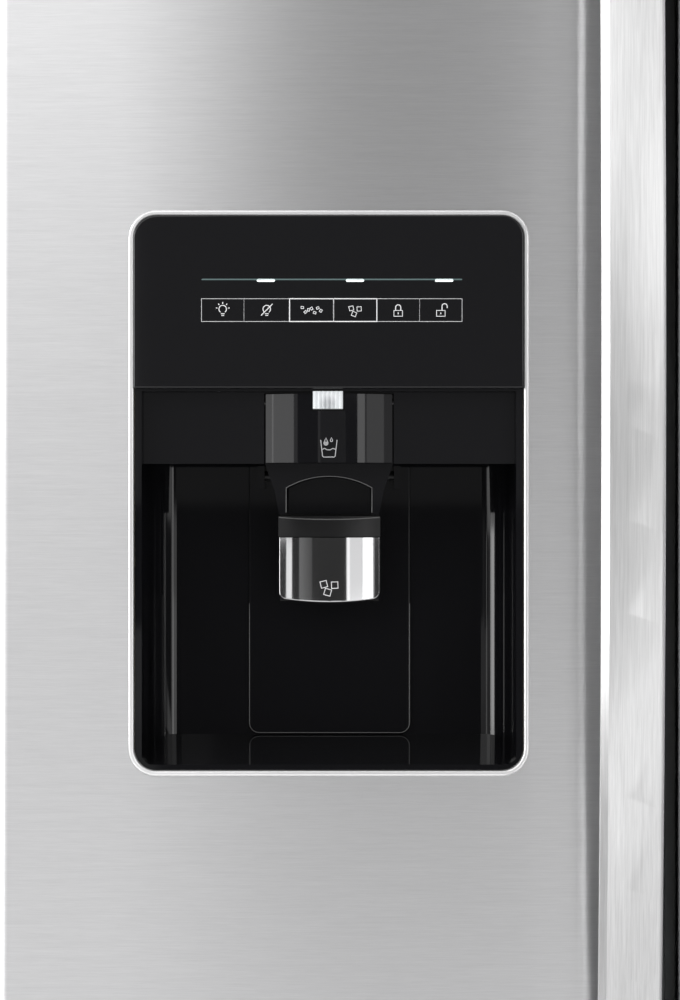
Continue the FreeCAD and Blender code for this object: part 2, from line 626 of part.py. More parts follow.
def ice_bin():
    """Ice bin with a trough for the auger, and a nose that drops the ice into the door's duct."""
    x = (FREEZER_LEFT + 2.0, FREEZER_RIGHT - 2.0)
    outside = block(x, (SHELF_FRONT, BIN_BACK), (BIN_BOTTOM, BIN_TOP))
    nose = block((AUGER_X - NOSE_HALF, AUGER_X + NOSE_HALF), (NOSE_FRONT, SHELF_FRONT),
                 (BIN_BOTTOM, AUGER_Z + 32.0))
    trough = FLIGHT_RADIUS + 4.0
    room = block((x[0] + BIN_WALL, x[1] - BIN_WALL), (SHELF_FRONT + BIN_WALL, BIN_BACK - BIN_WALL),
                 (AUGER_Z + 40.0, BIN_TOP + 1.0))
    funnel = across_y([(x[0] + BIN_WALL, AUGER_Z + 41.0), (AUGER_X - trough, AUGER_Z),
                       (AUGER_X + trough, AUGER_Z),
                       (x[1] - BIN_WALL, AUGER_Z + 41.0)], (SHELF_FRONT + BIN_WALL, BIN_BACK - BIN_WALL))
    channel = rod((AUGER_X, NOSE_FRONT + BIN_WALL, AUGER_Z), (AUGER_X, BIN_BACK - BIN_WALL, AUGER_Z), trough)
    outlet = block((AUGER_X - trough, AUGER_X + trough), (NOSE_FRONT + BIN_WALL + 3.0, NOSE_FRONT + 42.0),
                   (BIN_BOTTOM - 1.0, AUGER_Z))
    front_bearing = rod((AUGER_X, NOSE_FRONT - 1.0, AUGER_Z),
                        (AUGER_X, NOSE_FRONT + BIN_WALL + 1.0, AUGER_Z), AUGER_SHAFT + FIT)
    rear_bearing = rod((AUGER_X, BIN_BACK - BIN_WALL - 1.0, AUGER_Z), (AUGER_X, BIN_BACK + 1.0, AUGER_Z),
                       AUGER_SHAFT + FIT)
    for hollow in (room, funnel, channel, outlet, front_bearing, rear_bearing):
        outside = outside.cut(hollow)
        nose = nose.cut(hollow)
    return [outside, nose]


def ice_auger():
    """A screw that moves the ice forward: one flight wound round a straight shaft."""
    shaft = rod((AUGER_X, NOSE_FRONT, AUGER_Z), (AUGER_X, BIN_BACK + 14.0, AUGER_Z), AUGER_SHAFT)
    pitch = 62.0
    start = NOSE_FRONT + 46.0
    length = BIN_BACK - BIN_WALL - 6.0 - start
    helix = Part.makeHelix(pitch, length, AUGER_SHAFT - 1.0)
    section = Part.makePolygon([Vector(AUGER_SHAFT - 1.0, 0, -1.5), Vector(FLIGHT_RADIUS, 0, -1.5),
                                Vector(FLIGHT_RADIUS, 0, 1.5), Vector(AUGER_SHAFT - 1.0, 0, 1.5),
                                Vector(AUGER_SHAFT - 1.0, 0, -1.5)])
    flight = Part.Wire(helix.Edges).makePipeShell([section], True, True)
    flight.rotate(Vector(0, 0, 0), Vector(1, 0, 0), -90.0)
    flight.translate(Vector(AUGER_X, start, AUGER_Z))
    return [shaft, flight.cut(shaft)]


MAKER_BOTTOM = BIN_TOP + 44.0
ARM_RADIUS = 2.0
MOTOR_BOX_RIGHT = FREEZER_LEFT + 46.0
MOTOR_BOX_HEIGHT = 84.0


def ice_maker():
    """Gear box on the side wall, and the mould that it carries across the compartment."""
    box = block((FREEZER_LEFT, MOTOR_BOX_RIGHT), (COVER_FRONT - 130.0, COVER_FRONT - 40.0),
                (MAKER_BOTTOM, MAKER_BOTTOM + MOTOR_BOX_HEIGHT))
    box = rounded(box, 6.0, Vector(1, 0, 0))
    mould = block((MOTOR_BOX_RIGHT - 1.0, FREEZER_RIGHT - 40.0), (COVER_FRONT - 116.0, COVER_FRONT - 58.0),
                  (MAKER_BOTTOM + 26.0, MAKER_BOTTOM + 56.0))
    groove = rod((MOTOR_BOX_RIGHT + 3.0, COVER_FRONT - 87.0, MAKER_BOTTOM + 56.0),
                 (FREEZER_RIGHT - 44.0, COVER_FRONT - 87.0, MAKER_BOTTOM + 56.0), 24.0)
    mould = mould.cut(groove)
    walls = []
    for cell in range(1, 7):
        x = MOTOR_BOX_RIGHT + 3.0 + cell * (FREEZER_RIGHT - 47.0 - MOTOR_BOX_RIGHT) / 7
        walls.append(block((x - 1.0, x + 1.0), (COVER_FRONT - 114.0, COVER_FRONT - 60.0),
                           (MAKER_BOTTOM + 28.0, MAKER_BOTTOM + 52.0)))
    socket = rod((MOTOR_BOX_RIGHT - 10.0, ARM_SHAFT_Y, ARM_SHAFT_Z),
                 (MOTOR_BOX_RIGHT + 1.0, ARM_SHAFT_Y, ARM_SHAFT_Z),
                 ARM_RADIUS + FIT)
    return joined([box, mould] + walls).cut(socket)


ARM_SHAFT_Y = COVER_FRONT - 122.0
ARM_SHAFT_Z = MAKER_BOTTOM + 16.0


def shutoff_arm():
    """The wire arm that feels how full the bin is."""
    drop = 34.0
    reach = FREEZER_RIGHT - 60.0
    start = MOTOR_BOX_RIGHT - 9.0
    elbow = MOTOR_BOX_RIGHT + 20.0
    low = ARM_SHAFT_Z - drop
    front = ARM_SHAFT_Y - 30.0
    path = [(start, ARM_SHAFT_Y, ARM_SHAFT_Z), (elbow, ARM_SHAFT_Y, ARM_SHAFT_Z), (elbow, front, low),
            (reach, front, low)]
    pieces = []
    for begin, end in zip(path, path[1:]):
        pieces.append(rod(begin, end, ARM_RADIUS))
    for corner in path[1:]:
        pieces.append(Part.makeSphere(ARM_RADIUS, Vector(*corner)))
    return joined(pieces)


# ---------------------------------------------------------------- fresh food compartment

GLASS = 4.0


def shelf_frame(top, back):
    """A plastic rim with a rebate for the glass."""
    x = (FRIDGE_LEFT + CLEAR, FRIDGE_RIGHT - CLEAR)
    rim = rounded(block(x, (SHELF_FRONT, back), (top - SHELF_HEIGHT, top)), 6.0, Vector(0, 0, 1))
    opening = block((x[0] + 20.0, x[1] - 20.0), (SHELF_FRONT + 20.0, back - 20.0),
                    (top - SHELF_HEIGHT - 1.0, top + 1.0))
    return rim.cut(opening).cut(shelf_glass(top, back))


def shelf_glass(top, back):
    return block((FRIDGE_LEFT + CLEAR + 12.0, FRIDGE_RIGHT - CLEAR - 12.0),
                 (SHELF_FRONT + 12.0, back - 12.0), (top - GLASS, top))


def drawer(y, z):
    """A clear drawer with a lip across the front to pull it by."""
    x = (FRIDGE_LEFT + TRAY_INSET, FRIDGE_RIGHT - TRAY_INSET)
    body = tray(x, (y[0] + 8.0, y[1]), z, 3.0, 14.0)
    front = block(x, (y[0], y[0] + 9.0), (z[0] + 2.0, z[1]))
    grip = block((x[0] + 90.0, x[1] - 90.0), (y[0] - 1.0, y[0] + 6.0), (z[1] - 34.0, z[1] - 14.0))
    return joined([body, rounded(front, 6.0, Vector(0, 1, 0)).cut(grip)])


CONTROL_Z = (CEILING - 72.0, CEILING)
CONTROL_FRONT = SHELF_FRONT + 12.0
CONTROL_HALF = 124.5
CONTROL_MIDDLE = (FRIDGE_LEFT + FRIDGE_RIGHT) / 2
DIAL_APART = 130.0
DIAL_X = (CONTROL_MIDDLE - DIAL_APART / 2, CONTROL_MIDDLE + DIAL_APART / 2)
DIAL_Z = CEILING - 36.0
DIAL_RADIUS = 18.0
STEM_RADIUS = 4.0


def control_housing():
    """Housing under the ceiling for the two dials and the lamp."""
    shape = block((CONTROL_MIDDLE - CONTROL_HALF, CONTROL_MIDDLE + CONTROL_HALF),
                  (CONTROL_FRONT, CONTROL_FRONT + 190.0), CONTROL_Z)
    front = [edge for edge in shape.Edges if edge.BoundBox.YMax < CONTROL_FRONT + 1.0]
    lower = [edge for edge in front if edge.BoundBox.ZMax < CONTROL_Z[0] + 1.0]
    shape = shape.makeFillet(10.0, lower)
    for x in DIAL_X:
        shape = shape.cut(rod((x, CONTROL_FRONT - 1.0, DIAL_Z), (x, CONTROL_FRONT + 14.0, DIAL_Z),
                              STEM_RADIUS + FIT))
    return shape


def dial(x):
    """A knob with a pointer rib, on a stem."""
    knob = rod((x, CONTROL_FRONT - 12.0, DIAL_Z), (x, CONTROL_FRONT - CLEAR, DIAL_Z), DIAL_RADIUS)
    knob = knob.makeFillet(2.0, [edge for edge in knob.Edges if edge.BoundBox.YMax < CONTROL_FRONT - 11.0])
    rib = block((x - 3.0, x + 3.0), (CONTROL_FRONT - 16.0, CONTROL_FRONT - 10.0),
                (DIAL_Z - 16.0, DIAL_Z + 16.0))
    stem = rod((x, CONTROL_FRONT - 2.0, DIAL_Z), (x, CONTROL_FRONT + 12.0, DIAL_Z), STEM_RADIUS)
    return joined([knob, rib, stem])


# ---------------------------------------------------------------- hinges

COVER_TOP = CABINET_TOP + 25.0


def top_hinge():
    """Left top hinge: a plate on the cabinet's top with the pin under its front end."""
    x = LEFT + PIN_INSET
    plate = block((LEFT + 3.0, LEFT + 58.0), (PIN_Y - 12.0, FLANGE + 66.0),
                  (CABINET_TOP, CABINET_TOP + HINGE_PLATE))
    plate = rounded(plate, 8.0, Vector(0, 0, 1))
    pin = rod((x, PIN_Y, DOOR_TOP - 22.0), (x, PIN_Y, CABINET_TOP + 1.0), PIN_RADIUS)
    return joined([plate, pin]).cut(ALL_SCREWS)


def bottom_hinge():
    """Left bottom hinge: an angle on the base front with the pin standing on it."""
    x = LEFT + PIN_INSET
    seat = DOOR_BOTTOM - 2.0
    upright = block((LEFT + 4.0, LEFT + 58.0), (FLANGE - HINGE_PLATE, FLANGE), (DOOR_BOTTOM - 48.0, seat))
    foot = rounded(block((LEFT + 4.0, LEFT + 58.0), (PIN_Y - 12.0, FLANGE), (seat - HINGE_PLATE, seat)),
                   8.0, Vector(0, 0, 1))
    pin = rod((x, PIN_Y, seat - 1.0), (x, PIN_Y, DOOR_BOTTOM + 20.0), PIN_RADIUS)
    collar = rod((x, PIN_Y, seat - 1.0), (x, PIN_Y, DOOR_BOTTOM - 0.3), PIN_RADIUS + 4.0)
    return joined([upright, foot, pin, collar]).cut(ALL_SCREWS)


def hinge_cover():
    """Left hinge cover: a plastic cap over the top hinge."""
    wall = 2.0
    x = (LEFT, LEFT + 68.0)
    y = (PIN_Y - 20.0, FLANGE + 78.0)
    outside = rounded(block(x, y, (CABINET_TOP, COVER_TOP)), 12.0, Vector(0, 0, 1))
    rim = [edge for edge in outside.Edges if edge.BoundBox.ZMin > COVER_TOP - 1.0]
    outside = outside.makeFillet(5.0, rim)
    inside = block((x[0] + wall, x[1] - wall), (y[0] + wall, y[1] - wall),
                   (CABINET_TOP - 1.0, COVER_TOP - wall))
    return outside.cut(rounded(inside, 9.0, Vector(0, 0, 1)))


# ---------------------------------------------------------------- doors

BOW = 4.0                # the door face bows forward by this much
CORNER = 9.0             # round on the hinge side
CREASE = 48.4            # the soft crease is this far from the free edge
CREASE_DROP = 1.5        # the face has fallen back by this much at the crease
CREASE_SOFT = 2.5        # the crease is rounded over this much on either side
CREASE_SLOPE = math.radians(5.5)
FREE_CORNER = 10.0       # round on the free side
CAP = 24.0               # depth of the end caps inside the door
END_PLATE = 2.0


def bowed(share):
    """How far the face lies behind its foremost line, from the corner (0) to the crease (1)."""
    return BOW * (1 - share) * (1 - 2 * share) + CREASE_DROP * share * (2 * share - 1)


def falling(beyond):
    """How far the face has fallen back at a distance beyond the crease."""
    return CREASE_DROP + beyond * math.tan(CREASE_SLOPE)


FREE_DROP = falling(CREASE - FREE_CORNER)
FREE_SIDE = FREE_DROP + FREE_CORNER      # the flat free side begins this far back


def door_outline(hinge_side, free_side, inset, back):
    """The door seen from above, made smaller all round its front and sides by inset."""
    direction = 1.0 if free_side > hinge_side else -1.0
    width = abs(free_side - hinge_side)

    def at(along, behind):
        return Vector(hinge_side + direction * along, DOOR_FRONT + behind, 0)

    near = at(inset, CORNER + BOW)
    turn = CORNER - inset
    bend = at(CORNER - turn * math.cos(math.pi / 4), CORNER + BOW - turn * math.sin(math.pi / 4))
    shoulder = at(CORNER, BOW + inset)
    belly = at((CORNER + width - CREASE) / 2, inset)
    before = at(width - CREASE - CREASE_SOFT, bowed(1.0 - CREASE_SOFT / (width - CREASE - CORNER)) + inset)
    crease = at(width - CREASE, CREASE_DROP + inset)
    after = at(width - CREASE + CREASE_SOFT, falling(CREASE_SOFT) + inset)
    soft = (before + crease * 2 + after) * 0.25
    sloping = at(width - FREE_CORNER, FREE_DROP + inset)
    free_turn = FREE_CORNER - inset
    free_bend = at(width - FREE_CORNER + free_turn * math.sin(math.pi / 4),
                   FREE_SIDE - free_turn * math.cos(math.pi / 4))
    edge = at(width - inset, FREE_SIDE)
    corners = [at(width - inset, back), at(inset, back)]
    edges = [line(corners[1], near), arc(near, bend, shoulder), arc(shoulder, belly, before),
             arc(before, soft, after), line(after, sloping), arc(sloping, free_bend, edge),
             line(edge, corners[0]), line(corners[0], corners[1])]
    return Part.Face(Part.Wire(edges))


def door_volume(hinge_side, free_side, inset, back, z):
    face = door_outline(hinge_side, free_side, inset, back)
    face.translate(Vector(0, 0, z[0]))
    return face.extrude(Vector(0, 0, z[1] - z[0]))


SKIN_Z = (DOOR_BOTTOM + END_PLATE, DOOR_TOP - END_PLATE)
FOAM_Z = (DOOR_BOTTOM + CAP, DOOR_TOP - CAP)
LINER_FRONT = DOOR_THICKNESS - LINER


def door_skin(hinge_side, free_side):
    outside = door_volume(hinge_side, free_side, 0.0, DOOR_THICKNESS, SKIN_Z)
    inside = door_volume(hinge_side, free_side, DOOR_SKIN, DOOR_THICKNESS + 5.0, (0, CABINET_TOP + 10.0))
    return outside.cut(inside)


def door_caps(hinge_side, free_side):
    """Moulded ends that plug the door, with the holes for the hinge pins."""
    direction = 1.0 if free_side > hinge_side else -1.0
    x = hinge_side + direction * PIN_INSET
    caps = []
    for plate_z, plug_z in (((DOOR_BOTTOM, SKIN_Z[0]), (SKIN_Z[0], FOAM_Z[0])),
                            ((SKIN_Z[1], DOOR_TOP), (FOAM_Z[1], SKIN_Z[1]))):
        plate = door_volume(hinge_side, free_side, 0.0, DOOR_THICKNESS, plate_z)
        plug = door_volume(hinge_side, free_side, DOOR_SKIN, LINER_FRONT, plug_z)
        hole = rod((x, PIN_Y, plate_z[0] - CAP), (x, PIN_Y, plate_z[1] + CAP), PIN_RADIUS + FIT)
        caps.append(joined([plate, plug]).cut(hole))
    return caps


DIKE = 25.0              # width of the two upright ridges inside a door
DIKE_REACH = 45.0
DIKE_INSET = 18.0        # free-side ridge to liner wall, so that it swings clear
HINGE_DIKE_INSET = 11.0


def dikes(hinge_wall, free_wall, grow):
    """The two ridges that carry the bins."""
    direction = 1.0 if free_wall > hinge_wall else -1.0
    reach = DOOR_BACK + DIKE_REACH - LINER + grow
    ridges = []
    for start in (hinge_wall + direction * HINGE_DIKE_INSET, free_wall - direction * (DIKE_INSET + DIKE)):
        end = start + direction * DIKE
        low, high = min(start, end), max(start, end)
        ridge = block((low + LINER - grow, high - LINER + grow), (DOOR_BACK - LINER, reach),
                      (FLOOR + 20.0 + LINER - grow, CEILING - 20.0 - LINER + grow))
        ridges.append(rounded(ridge, 6.0, Vector(0, 0, 1)))
    return ridges


def door_liner(hinge_side, free_side, bumps, cores):
    """The door's moulded inner sheet with its raised ridges."""
    low = min(hinge_side, free_side) + DOOR_SKIN
    high = max(hinge_side, free_side) - DOOR_SKIN
    sheet = block((low, high), (DOOR_BACK - LINER, DOOR_BACK), SKIN_Z)
    shape = joined([sheet] + bumps)
    for core in cores:
        shape = shape.cut(core)
    return shape


def door_foam(hinge_side, free_side, cores):
    slab = door_volume(hinge_side, free_side, DOOR_SKIN, LINER_FRONT, FOAM_Z)
    return joined([slab] + cores)


def gasket(hinge_side, free_side):
    """Soft magnetic seal: a ring that stops just short of the cabinet's flange."""
    width = 13.0
    low = min(hinge_side, free_side) + PIN_INSET
    high = max(hinge_side, free_side) - PIN_INSET
    bottom = DOOR_BOTTOM + PIN_INSET
    top = DOOR_TOP - PIN_INSET
    rear = FLANGE - 0.3
    ring = block((low, high), (DOOR_BACK, rear), (bottom, top))
    room = block((low + width, high - width), (DOOR_BACK - 1.0, rear + 1.0), (bottom + width, top - width))
    groove = block((low - 1.0, high + 1.0), (DOOR_BACK + 4.0, DOOR_BACK + 7.0), (bottom - 1.0, top + 1.0))
    neck = block((low + 3.0, high - 3.0), (DOOR_BACK + 3.0, DOOR_BACK + 8.0), (bottom + 3.0, top - 3.0))
    return ring.cut(room).cut(groove.cut(neck))


HANDLE_MIDDLE = CABINET_TOP - 515.0
HANDLE_HALF = 480.0
HANDLE_BOW = 32.0        # the handle stands out this much more at its middle than at its ends
HANDLE_WIDTH = 36.0
HANDLE_BAR = 14.0
HANDLE_FOOT = 62.0       # length of the two ends that reach the door
HANDLE_FROM_EDGE = 5.7
HANDLE_CROWN = 1.6                       # how far its front swells across
HANDLE_BEVEL = 4.0                       # along the edge away from the gap
HANDLE_ROUND = 2.5                       # along the edge beside the gap
HANDLE_END_ROUND = 9.0


def handle_crown(middle_x):
    """Everything behind a handle's front, which is crowned across and bowed lengthways."""
    half = HANDLE_WIDTH / 2
    crown_radius = half ** 2 / (2 * HANDLE_CROWN) + HANDLE_CROWN / 2
    half += 1.0
    drop = crown_radius - math.sqrt(crown_radius ** 2 - half ** 2)
    behind = -FREE_SIDE - 30.0

    def at(x, out):
        return Vector(middle_x + x, DOOR_FRONT - out, HANDLE_MIDDLE)

    edges = [line(at(-half, behind), at(-half, HANDLE_REACH - drop)),
             arc(at(-half, HANDLE_REACH - drop), at(0, HANDLE_REACH), at(half, HANDLE_REACH - drop)),
             line(at(half, HANDLE_REACH - drop), at(half, behind)), line(at(half, behind), at(-half, behind))]
    section = Part.Face(Part.Wire(edges))
    bow_radius = HANDLE_HALF ** 2 / (2 * HANDLE_BOW) + HANDLE_BOW / 2
    centre = Vector(middle_x, DOOR_FRONT - HANDLE_REACH + bow_radius, HANDLE_MIDDLE)
    turn = math.degrees(math.asin(HANDLE_HALF / (bow_radius - HANDLE_REACH + behind))) + 1.0
    section.rotate(centre, Vector(1, 0, 0), -turn)
    return section.revolve(centre, Vector(1, 0, 0), 2 * turn)


def handle(free_side, direction, door):
    """A bowed bar; direction points from the free edge towards the hinge."""
    near = free_side + direction * HANDLE_FROM_EDGE
    far = near + direction * HANDLE_WIDTH
    low = HANDLE_MIDDLE - HANDLE_HALF
    high = HANDLE_MIDDLE + HANDLE_HALF
    bow = HANDLE_BOW / HANDLE_HALF ** 2
    end_reach = HANDLE_REACH - HANDLE_BOW
    inner = HANDLE_REACH - HANDLE_BAR
    foot_reach = inner - bow * (HANDLE_HALF - HANDLE_FOOT) ** 2
    buried = -FREE_SIDE - 3.0

    def at(out, z):
        return Vector(near, DOOR_FRONT - out, z)

    foot = HANDLE_FOOT
    edges = [line(at(buried, low), at(end_reach, low)),
             arc(at(end_reach, low), at(HANDLE_REACH, HANDLE_MIDDLE), at(end_reach, high)),
             line(at(end_reach, high), at(buried, high)),
             line(at(buried, high), at(buried, high - foot)),
             line(at(buried, high - foot), at(foot_reach, high - foot)),
             arc(at(foot_reach, high - foot), at(inner, HANDLE_MIDDLE), at(foot_reach, low + foot)),
             line(at(foot_reach, low + foot), at(buried, low + foot)),
             line(at(buried, low + foot), at(buried, low))]
    bar = Part.Face(Part.Wire(edges)).extrude(Vector(direction * HANDLE_WIDTH, 0, 0))
    bar = bar.common(handle_crown(near + direction * HANDLE_WIDTH / 2))
    ends = []
    for edge in bar.Edges:
        box = edge.BoundBox
        if box.YMax < DOOR_FRONT - end_reach + HANDLE_CROWN + 1.0 and box.ZLength < 1.0:
            ends.append(edge)
    bar = bar.makeFillet(HANDLE_END_ROUND, ends)
    def long_edges(shape, side):
        chosen = []
        for edge in shape.Edges:
            box = edge.BoundBox
            on_side = box.XLength < 0.01 and abs(box.XMin - side) < 0.01
            in_front = box.YMax < DOOR_FRONT - end_reach + 12.0 and box.ZLength > 100.0
            if on_side and in_front:
                chosen.append(edge)
        return chosen

    bar = bar.makeChamfer(HANDLE_BEVEL, long_edges(bar, far))
    bar = bar.makeFillet(HANDLE_ROUND, long_edges(bar, near))
    return bar.cut(door)


# ---------------------------------------------------------------- dispenser

DISPENSER_X = LEFT + FREEZER_DOOR_WIDTH / 2
BEZEL_WIDTH = 234.0
BEZEL_HEIGHT = 330.5
BEZEL_TOP = CABINET_TOP - 435.5
BEZEL_BOTTOM = BEZEL_TOP - BEZEL_HEIGHT
BEZEL_RIM = 2.8
BEZEL_FRONT = DOOR_FRONT - 2.0
BEZEL_BACK = DOOR_FRONT + 10.0
BEZEL_CORNER = 16.0
PANEL_BOTTOM = BEZEL_TOP - 104.0
PANEL_FRONT = DOOR_FRONT - 3.4
HOUSING_FRONT = DOOR_FRONT + 3.5
CAVITY_BACK = DOOR_FRONT + 90.0
CAVITY_FLOOR = BEZEL_BOTTOM + 5.4
CAVITY_RISE = 11.0
CAVITY_HALF = 109.8
CAVITY_CORNER = 18.0                     # round between the recess's back and its sides
CENTRE_HALF = 50.0
CENTRE_RAISE = 2.0
CENTRE_ROUND = 0.9
APRON_BOTTOM = PANEL_BOTTOM - 43.9
APRON_FRONT = DOOR_FRONT + 12.0
APRON_BACK = APRON_FRONT + 2.5
HOUSING_WALL = 2.5
FLANGE_THICK = 3.0                       # the moulding's rim behind the bezel
PAD_HALF = 37.2
CHUTE_FRONT = DOOR_FRONT + 23.5
CHUTE_BACK = CHUTE_FRONT + 38.0
CHUTE_BOTTOM = APRON_BOTTOM - 29.7
CHUTE_HALF = 38.0
CHUTE_WALL = 2.0
NECK_HALF = 32.5                         # the funnel narrows to here
NECK_Z = CHUTE_BOTTOM + 14.1
MOUTH_HALF = 29.7
ARCH_HALF = 25.5                         # the arched opening in the funnel's front
ARCH_SPRING = CHUTE_BOTTOM + 15.6
ARCH_CROWN = CHUTE_BOTTOM + 22.5
CEILING_PLATE = 1.5
DUCT_HALF = 33.0
DUCT_TOP = BIN_BOTTOM - 6.0
DUCT_SHIFT = NOSE_FRONT + 24.0 - (CHUTE_FRONT + CHUTE_BACK) / 2


def bezel_outline(shrink, y):
    inset = BEZEL_WIDTH / 2 - shrink
    plate = block((DISPENSER_X - inset, DISPENSER_X + inset), y, (BEZEL_BOTTOM + shrink, BEZEL_TOP - shrink))
    return rounded(plate, BEZEL_CORNER - shrink, Vector(0, 1, 0))


def bezel():
    ring = bezel_outline(0.0, (BEZEL_FRONT, BEZEL_BACK)).cut(bezel_outline(BEZEL_RIM, (BEZEL_FRONT - 1.0,
                                                                                       BEZEL_BACK + 1.0)))
    front = [edge for edge in ring.Edges if edge.BoundBox.YMax < BEZEL_FRONT + 0.1]
    return ring.makeFillet(0.9, front)


def control_panel():
    """Glossy panel of touch areas, hollow behind."""
    inner = bezel_outline(BEZEL_RIM, (PANEL_FRONT, BEZEL_BACK))
    below = block((LEFT, 0), (PANEL_FRONT - 1.0, BEZEL_BACK + 1.0), (BEZEL_BOTTOM - 1.0, PANEL_BOTTOM))
    panel = inner.cut(below)
    panel = panel.makeFillet(1.2, [edge for edge in panel.Edges if edge.BoundBox.YMax < PANEL_FRONT + 0.1])
    room = block((DISPENSER_X - 106.0, DISPENSER_X + 106.0), (PANEL_FRONT + 3.0, BEZEL_BACK + 1.0),
                 (PANEL_BOTTOM + 4.0, BEZEL_TOP - 12.0))
    return panel.cut(room)


def cavity(grow, bottom, top):
    """The dispenser's recess in plan: straight sides, a flat back and round corners."""
    half = CAVITY_HALF + grow
    flat = CAVITY_HALF - CAVITY_CORNER
    back = CAVITY_BACK + grow
    front = HOUSING_FRONT - (0.0 if grow else 5.0)
    turn = CAVITY_BACK - CAVITY_CORNER

    def at(x, y):
        return Vector(DISPENSER_X + x, y, bottom)

    bulge_x = flat + (CAVITY_CORNER + grow) * math.sin(math.pi / 4)
    bulge_y = turn + (CAVITY_CORNER + grow) * math.cos(math.pi / 4)
    edges = [line(at(half, front), at(half, turn)), arc(at(half, turn), at(bulge_x, bulge_y), at(flat, back)),
             line(at(flat, back), at(-flat, back)),
             arc(at(-flat, back), at(-bulge_x, bulge_y), at(-half, turn)),
             line(at(-half, turn), at(-half, front)), line(at(-half, front), at(half, front))]
    return Part.Face(Part.Wire(edges)).extrude(Vector(0, 0, top - bottom))


def housing_volume():
    """All the room that the dispenser's moulding takes up, with the bezel's lower corners."""
    corners = bezel_outline(BEZEL_RIM, (HOUSING_FRONT - 10.0, CAVITY_BACK + 20.0))
    return cavity(HOUSING_WALL, CAVITY_FLOOR - HOUSING_WALL, PANEL_BOTTOM).common(corners)


LEVER_Y = CAVITY_BACK - 20.5
LEVER_Z = APRON_BOTTOM - 6.6
LEVER_PIN = 3.0
LEVER_EAR = CHUTE_HALF + 1.5             # the lever's two ears stand just outside the funnel
EAR_WIDTH = 4.0
WATER_PIVOT_Y = APRON_BACK + 3.0
WATER_PIVOT_Z = PANEL_BOTTOM - 7.5
WATER_PIN = 2.2
FLAP_PIVOT_Y = CHUTE_BACK - 5.0
FLAP_PIVOT_Z = PANEL_BOTTOM - 7.5
FLAP_PIN = 2.0


def ear(x, y, z, pivot, radius):
    """A plate with a hole for a pin that lies along X."""
    hole = rod((x[0] - 1.0,) + pivot, (x[1] + 1.0,) + pivot, radius + FIT)
    return block(x, y, z).cut(hole)


def dispenser_housing():
    """Glossy moulding that lines the recess, with the apron the water pad stands in."""
    outside = housing_volume()
    floor = across_x([(HOUSING_FRONT - 6.0, CAVITY_FLOOR - 9.0), (HOUSING_FRONT - 6.0, CAVITY_FLOOR),
                      (CAVITY_BACK + 1.0, CAVITY_FLOOR + CAVITY_RISE),
                      (CAVITY_BACK + 1.0, CAVITY_FLOOR - 9.0)],
                     (DISPENSER_X - 130.0, DISPENSER_X + 130.0))
    recess = cavity(0.0, CAVITY_FLOOR - 0.5, PANEL_BOTTOM - CEILING_PLATE).cut(floor)
    recess = recess.common(bezel_outline(BEZEL_RIM + HOUSING_WALL,
                                         (HOUSING_FRONT - 10.0, CAVITY_BACK + 20.0)))
    shell = outside.cut(recess)
    apron = block((DISPENSER_X - CAVITY_HALF - 0.5, DISPENSER_X + CAVITY_HALF + 0.5),
                  (APRON_FRONT, APRON_BACK),
                  (APRON_BOTTOM, PANEL_BOTTOM - CEILING_PLATE + 0.5))
    notch = block((DISPENSER_X - PAD_HALF - 1.0, DISPENSER_X + PAD_HALF + 1.0),
                  (APRON_FRONT - 1.0, APRON_BACK + 1.0),
                  (APRON_BOTTOM - 1.0, PANEL_BOTTOM - CEILING_PLATE - 1.0))
    centre = block((DISPENSER_X - CENTRE_HALF, DISPENSER_X + CENTRE_HALF),
                   (CAVITY_BACK - CENTRE_RAISE, CAVITY_BACK + 0.5),
                   (CAVITY_FLOOR + CAVITY_RISE + 0.5, PANEL_BOTTOM - CEILING_PLATE + 0.5))
    foot = [edge for edge in centre.Edges if edge.BoundBox.ZMax < CAVITY_FLOOR + CAVITY_RISE + 1.0]
    centre = centre.makeFillet(6.0, [edge for edge in foot if edge.BoundBox.XLength < 0.01])
    proud = [edge for edge in centre.Edges if edge.BoundBox.YMax < CAVITY_BACK - CENTRE_RAISE + 0.1]
    centre = centre.makeFillet(CENTRE_ROUND,
                               [edge for edge in proud if edge.BoundBox.ZMin < PANEL_BOTTOM - 20.0])
    flange = bezel_outline(BEZEL_RIM + CLEAR, (HOUSING_FRONT, HOUSING_FRONT + FLANGE_THICK))
    flange = flange.cut(block((LEFT, 0), (HOUSING_FRONT - 1.0, BEZEL_BACK), (PANEL_BOTTOM, BEZEL_TOP)))
    pieces = [shell, flange.cut(recess), apron.cut(notch), centre]
    for side in (-1, 1):
        inner = DISPENSER_X + side * (PAD_HALF + 2.0)
        x = tuple(sorted((inner, inner + side * EAR_WIDTH)))
        pieces.append(ear(x, (APRON_BACK - 0.5, APRON_BACK + 6.0), (WATER_PIVOT_Z - 6.0, PANEL_BOTTOM - 1.0),
                          (WATER_PIVOT_Y, WATER_PIVOT_Z), WATER_PIN))
        inner = DISPENSER_X + side * LEVER_EAR
        x = tuple(sorted((inner, inner + side * EAR_WIDTH)))
        pieces.append(ear(x, (LEVER_Y - 6.0, CAVITY_BACK + 0.5), (LEVER_Z - 8.0, LEVER_Z + 8.0),
                          (LEVER_Y, LEVER_Z), LEVER_PIN))
    way = block((DISPENSER_X - DUCT_HALF + CHUTE_WALL, DISPENSER_X + DUCT_HALF - CHUTE_WALL),
                (CHUTE_FRONT + CHUTE_WALL, CHUTE_BACK - CHUTE_WALL), (PANEL_BOTTOM - 5.0, PANEL_BOTTOM + 5.0))
    return joined(pieces).cut(way)


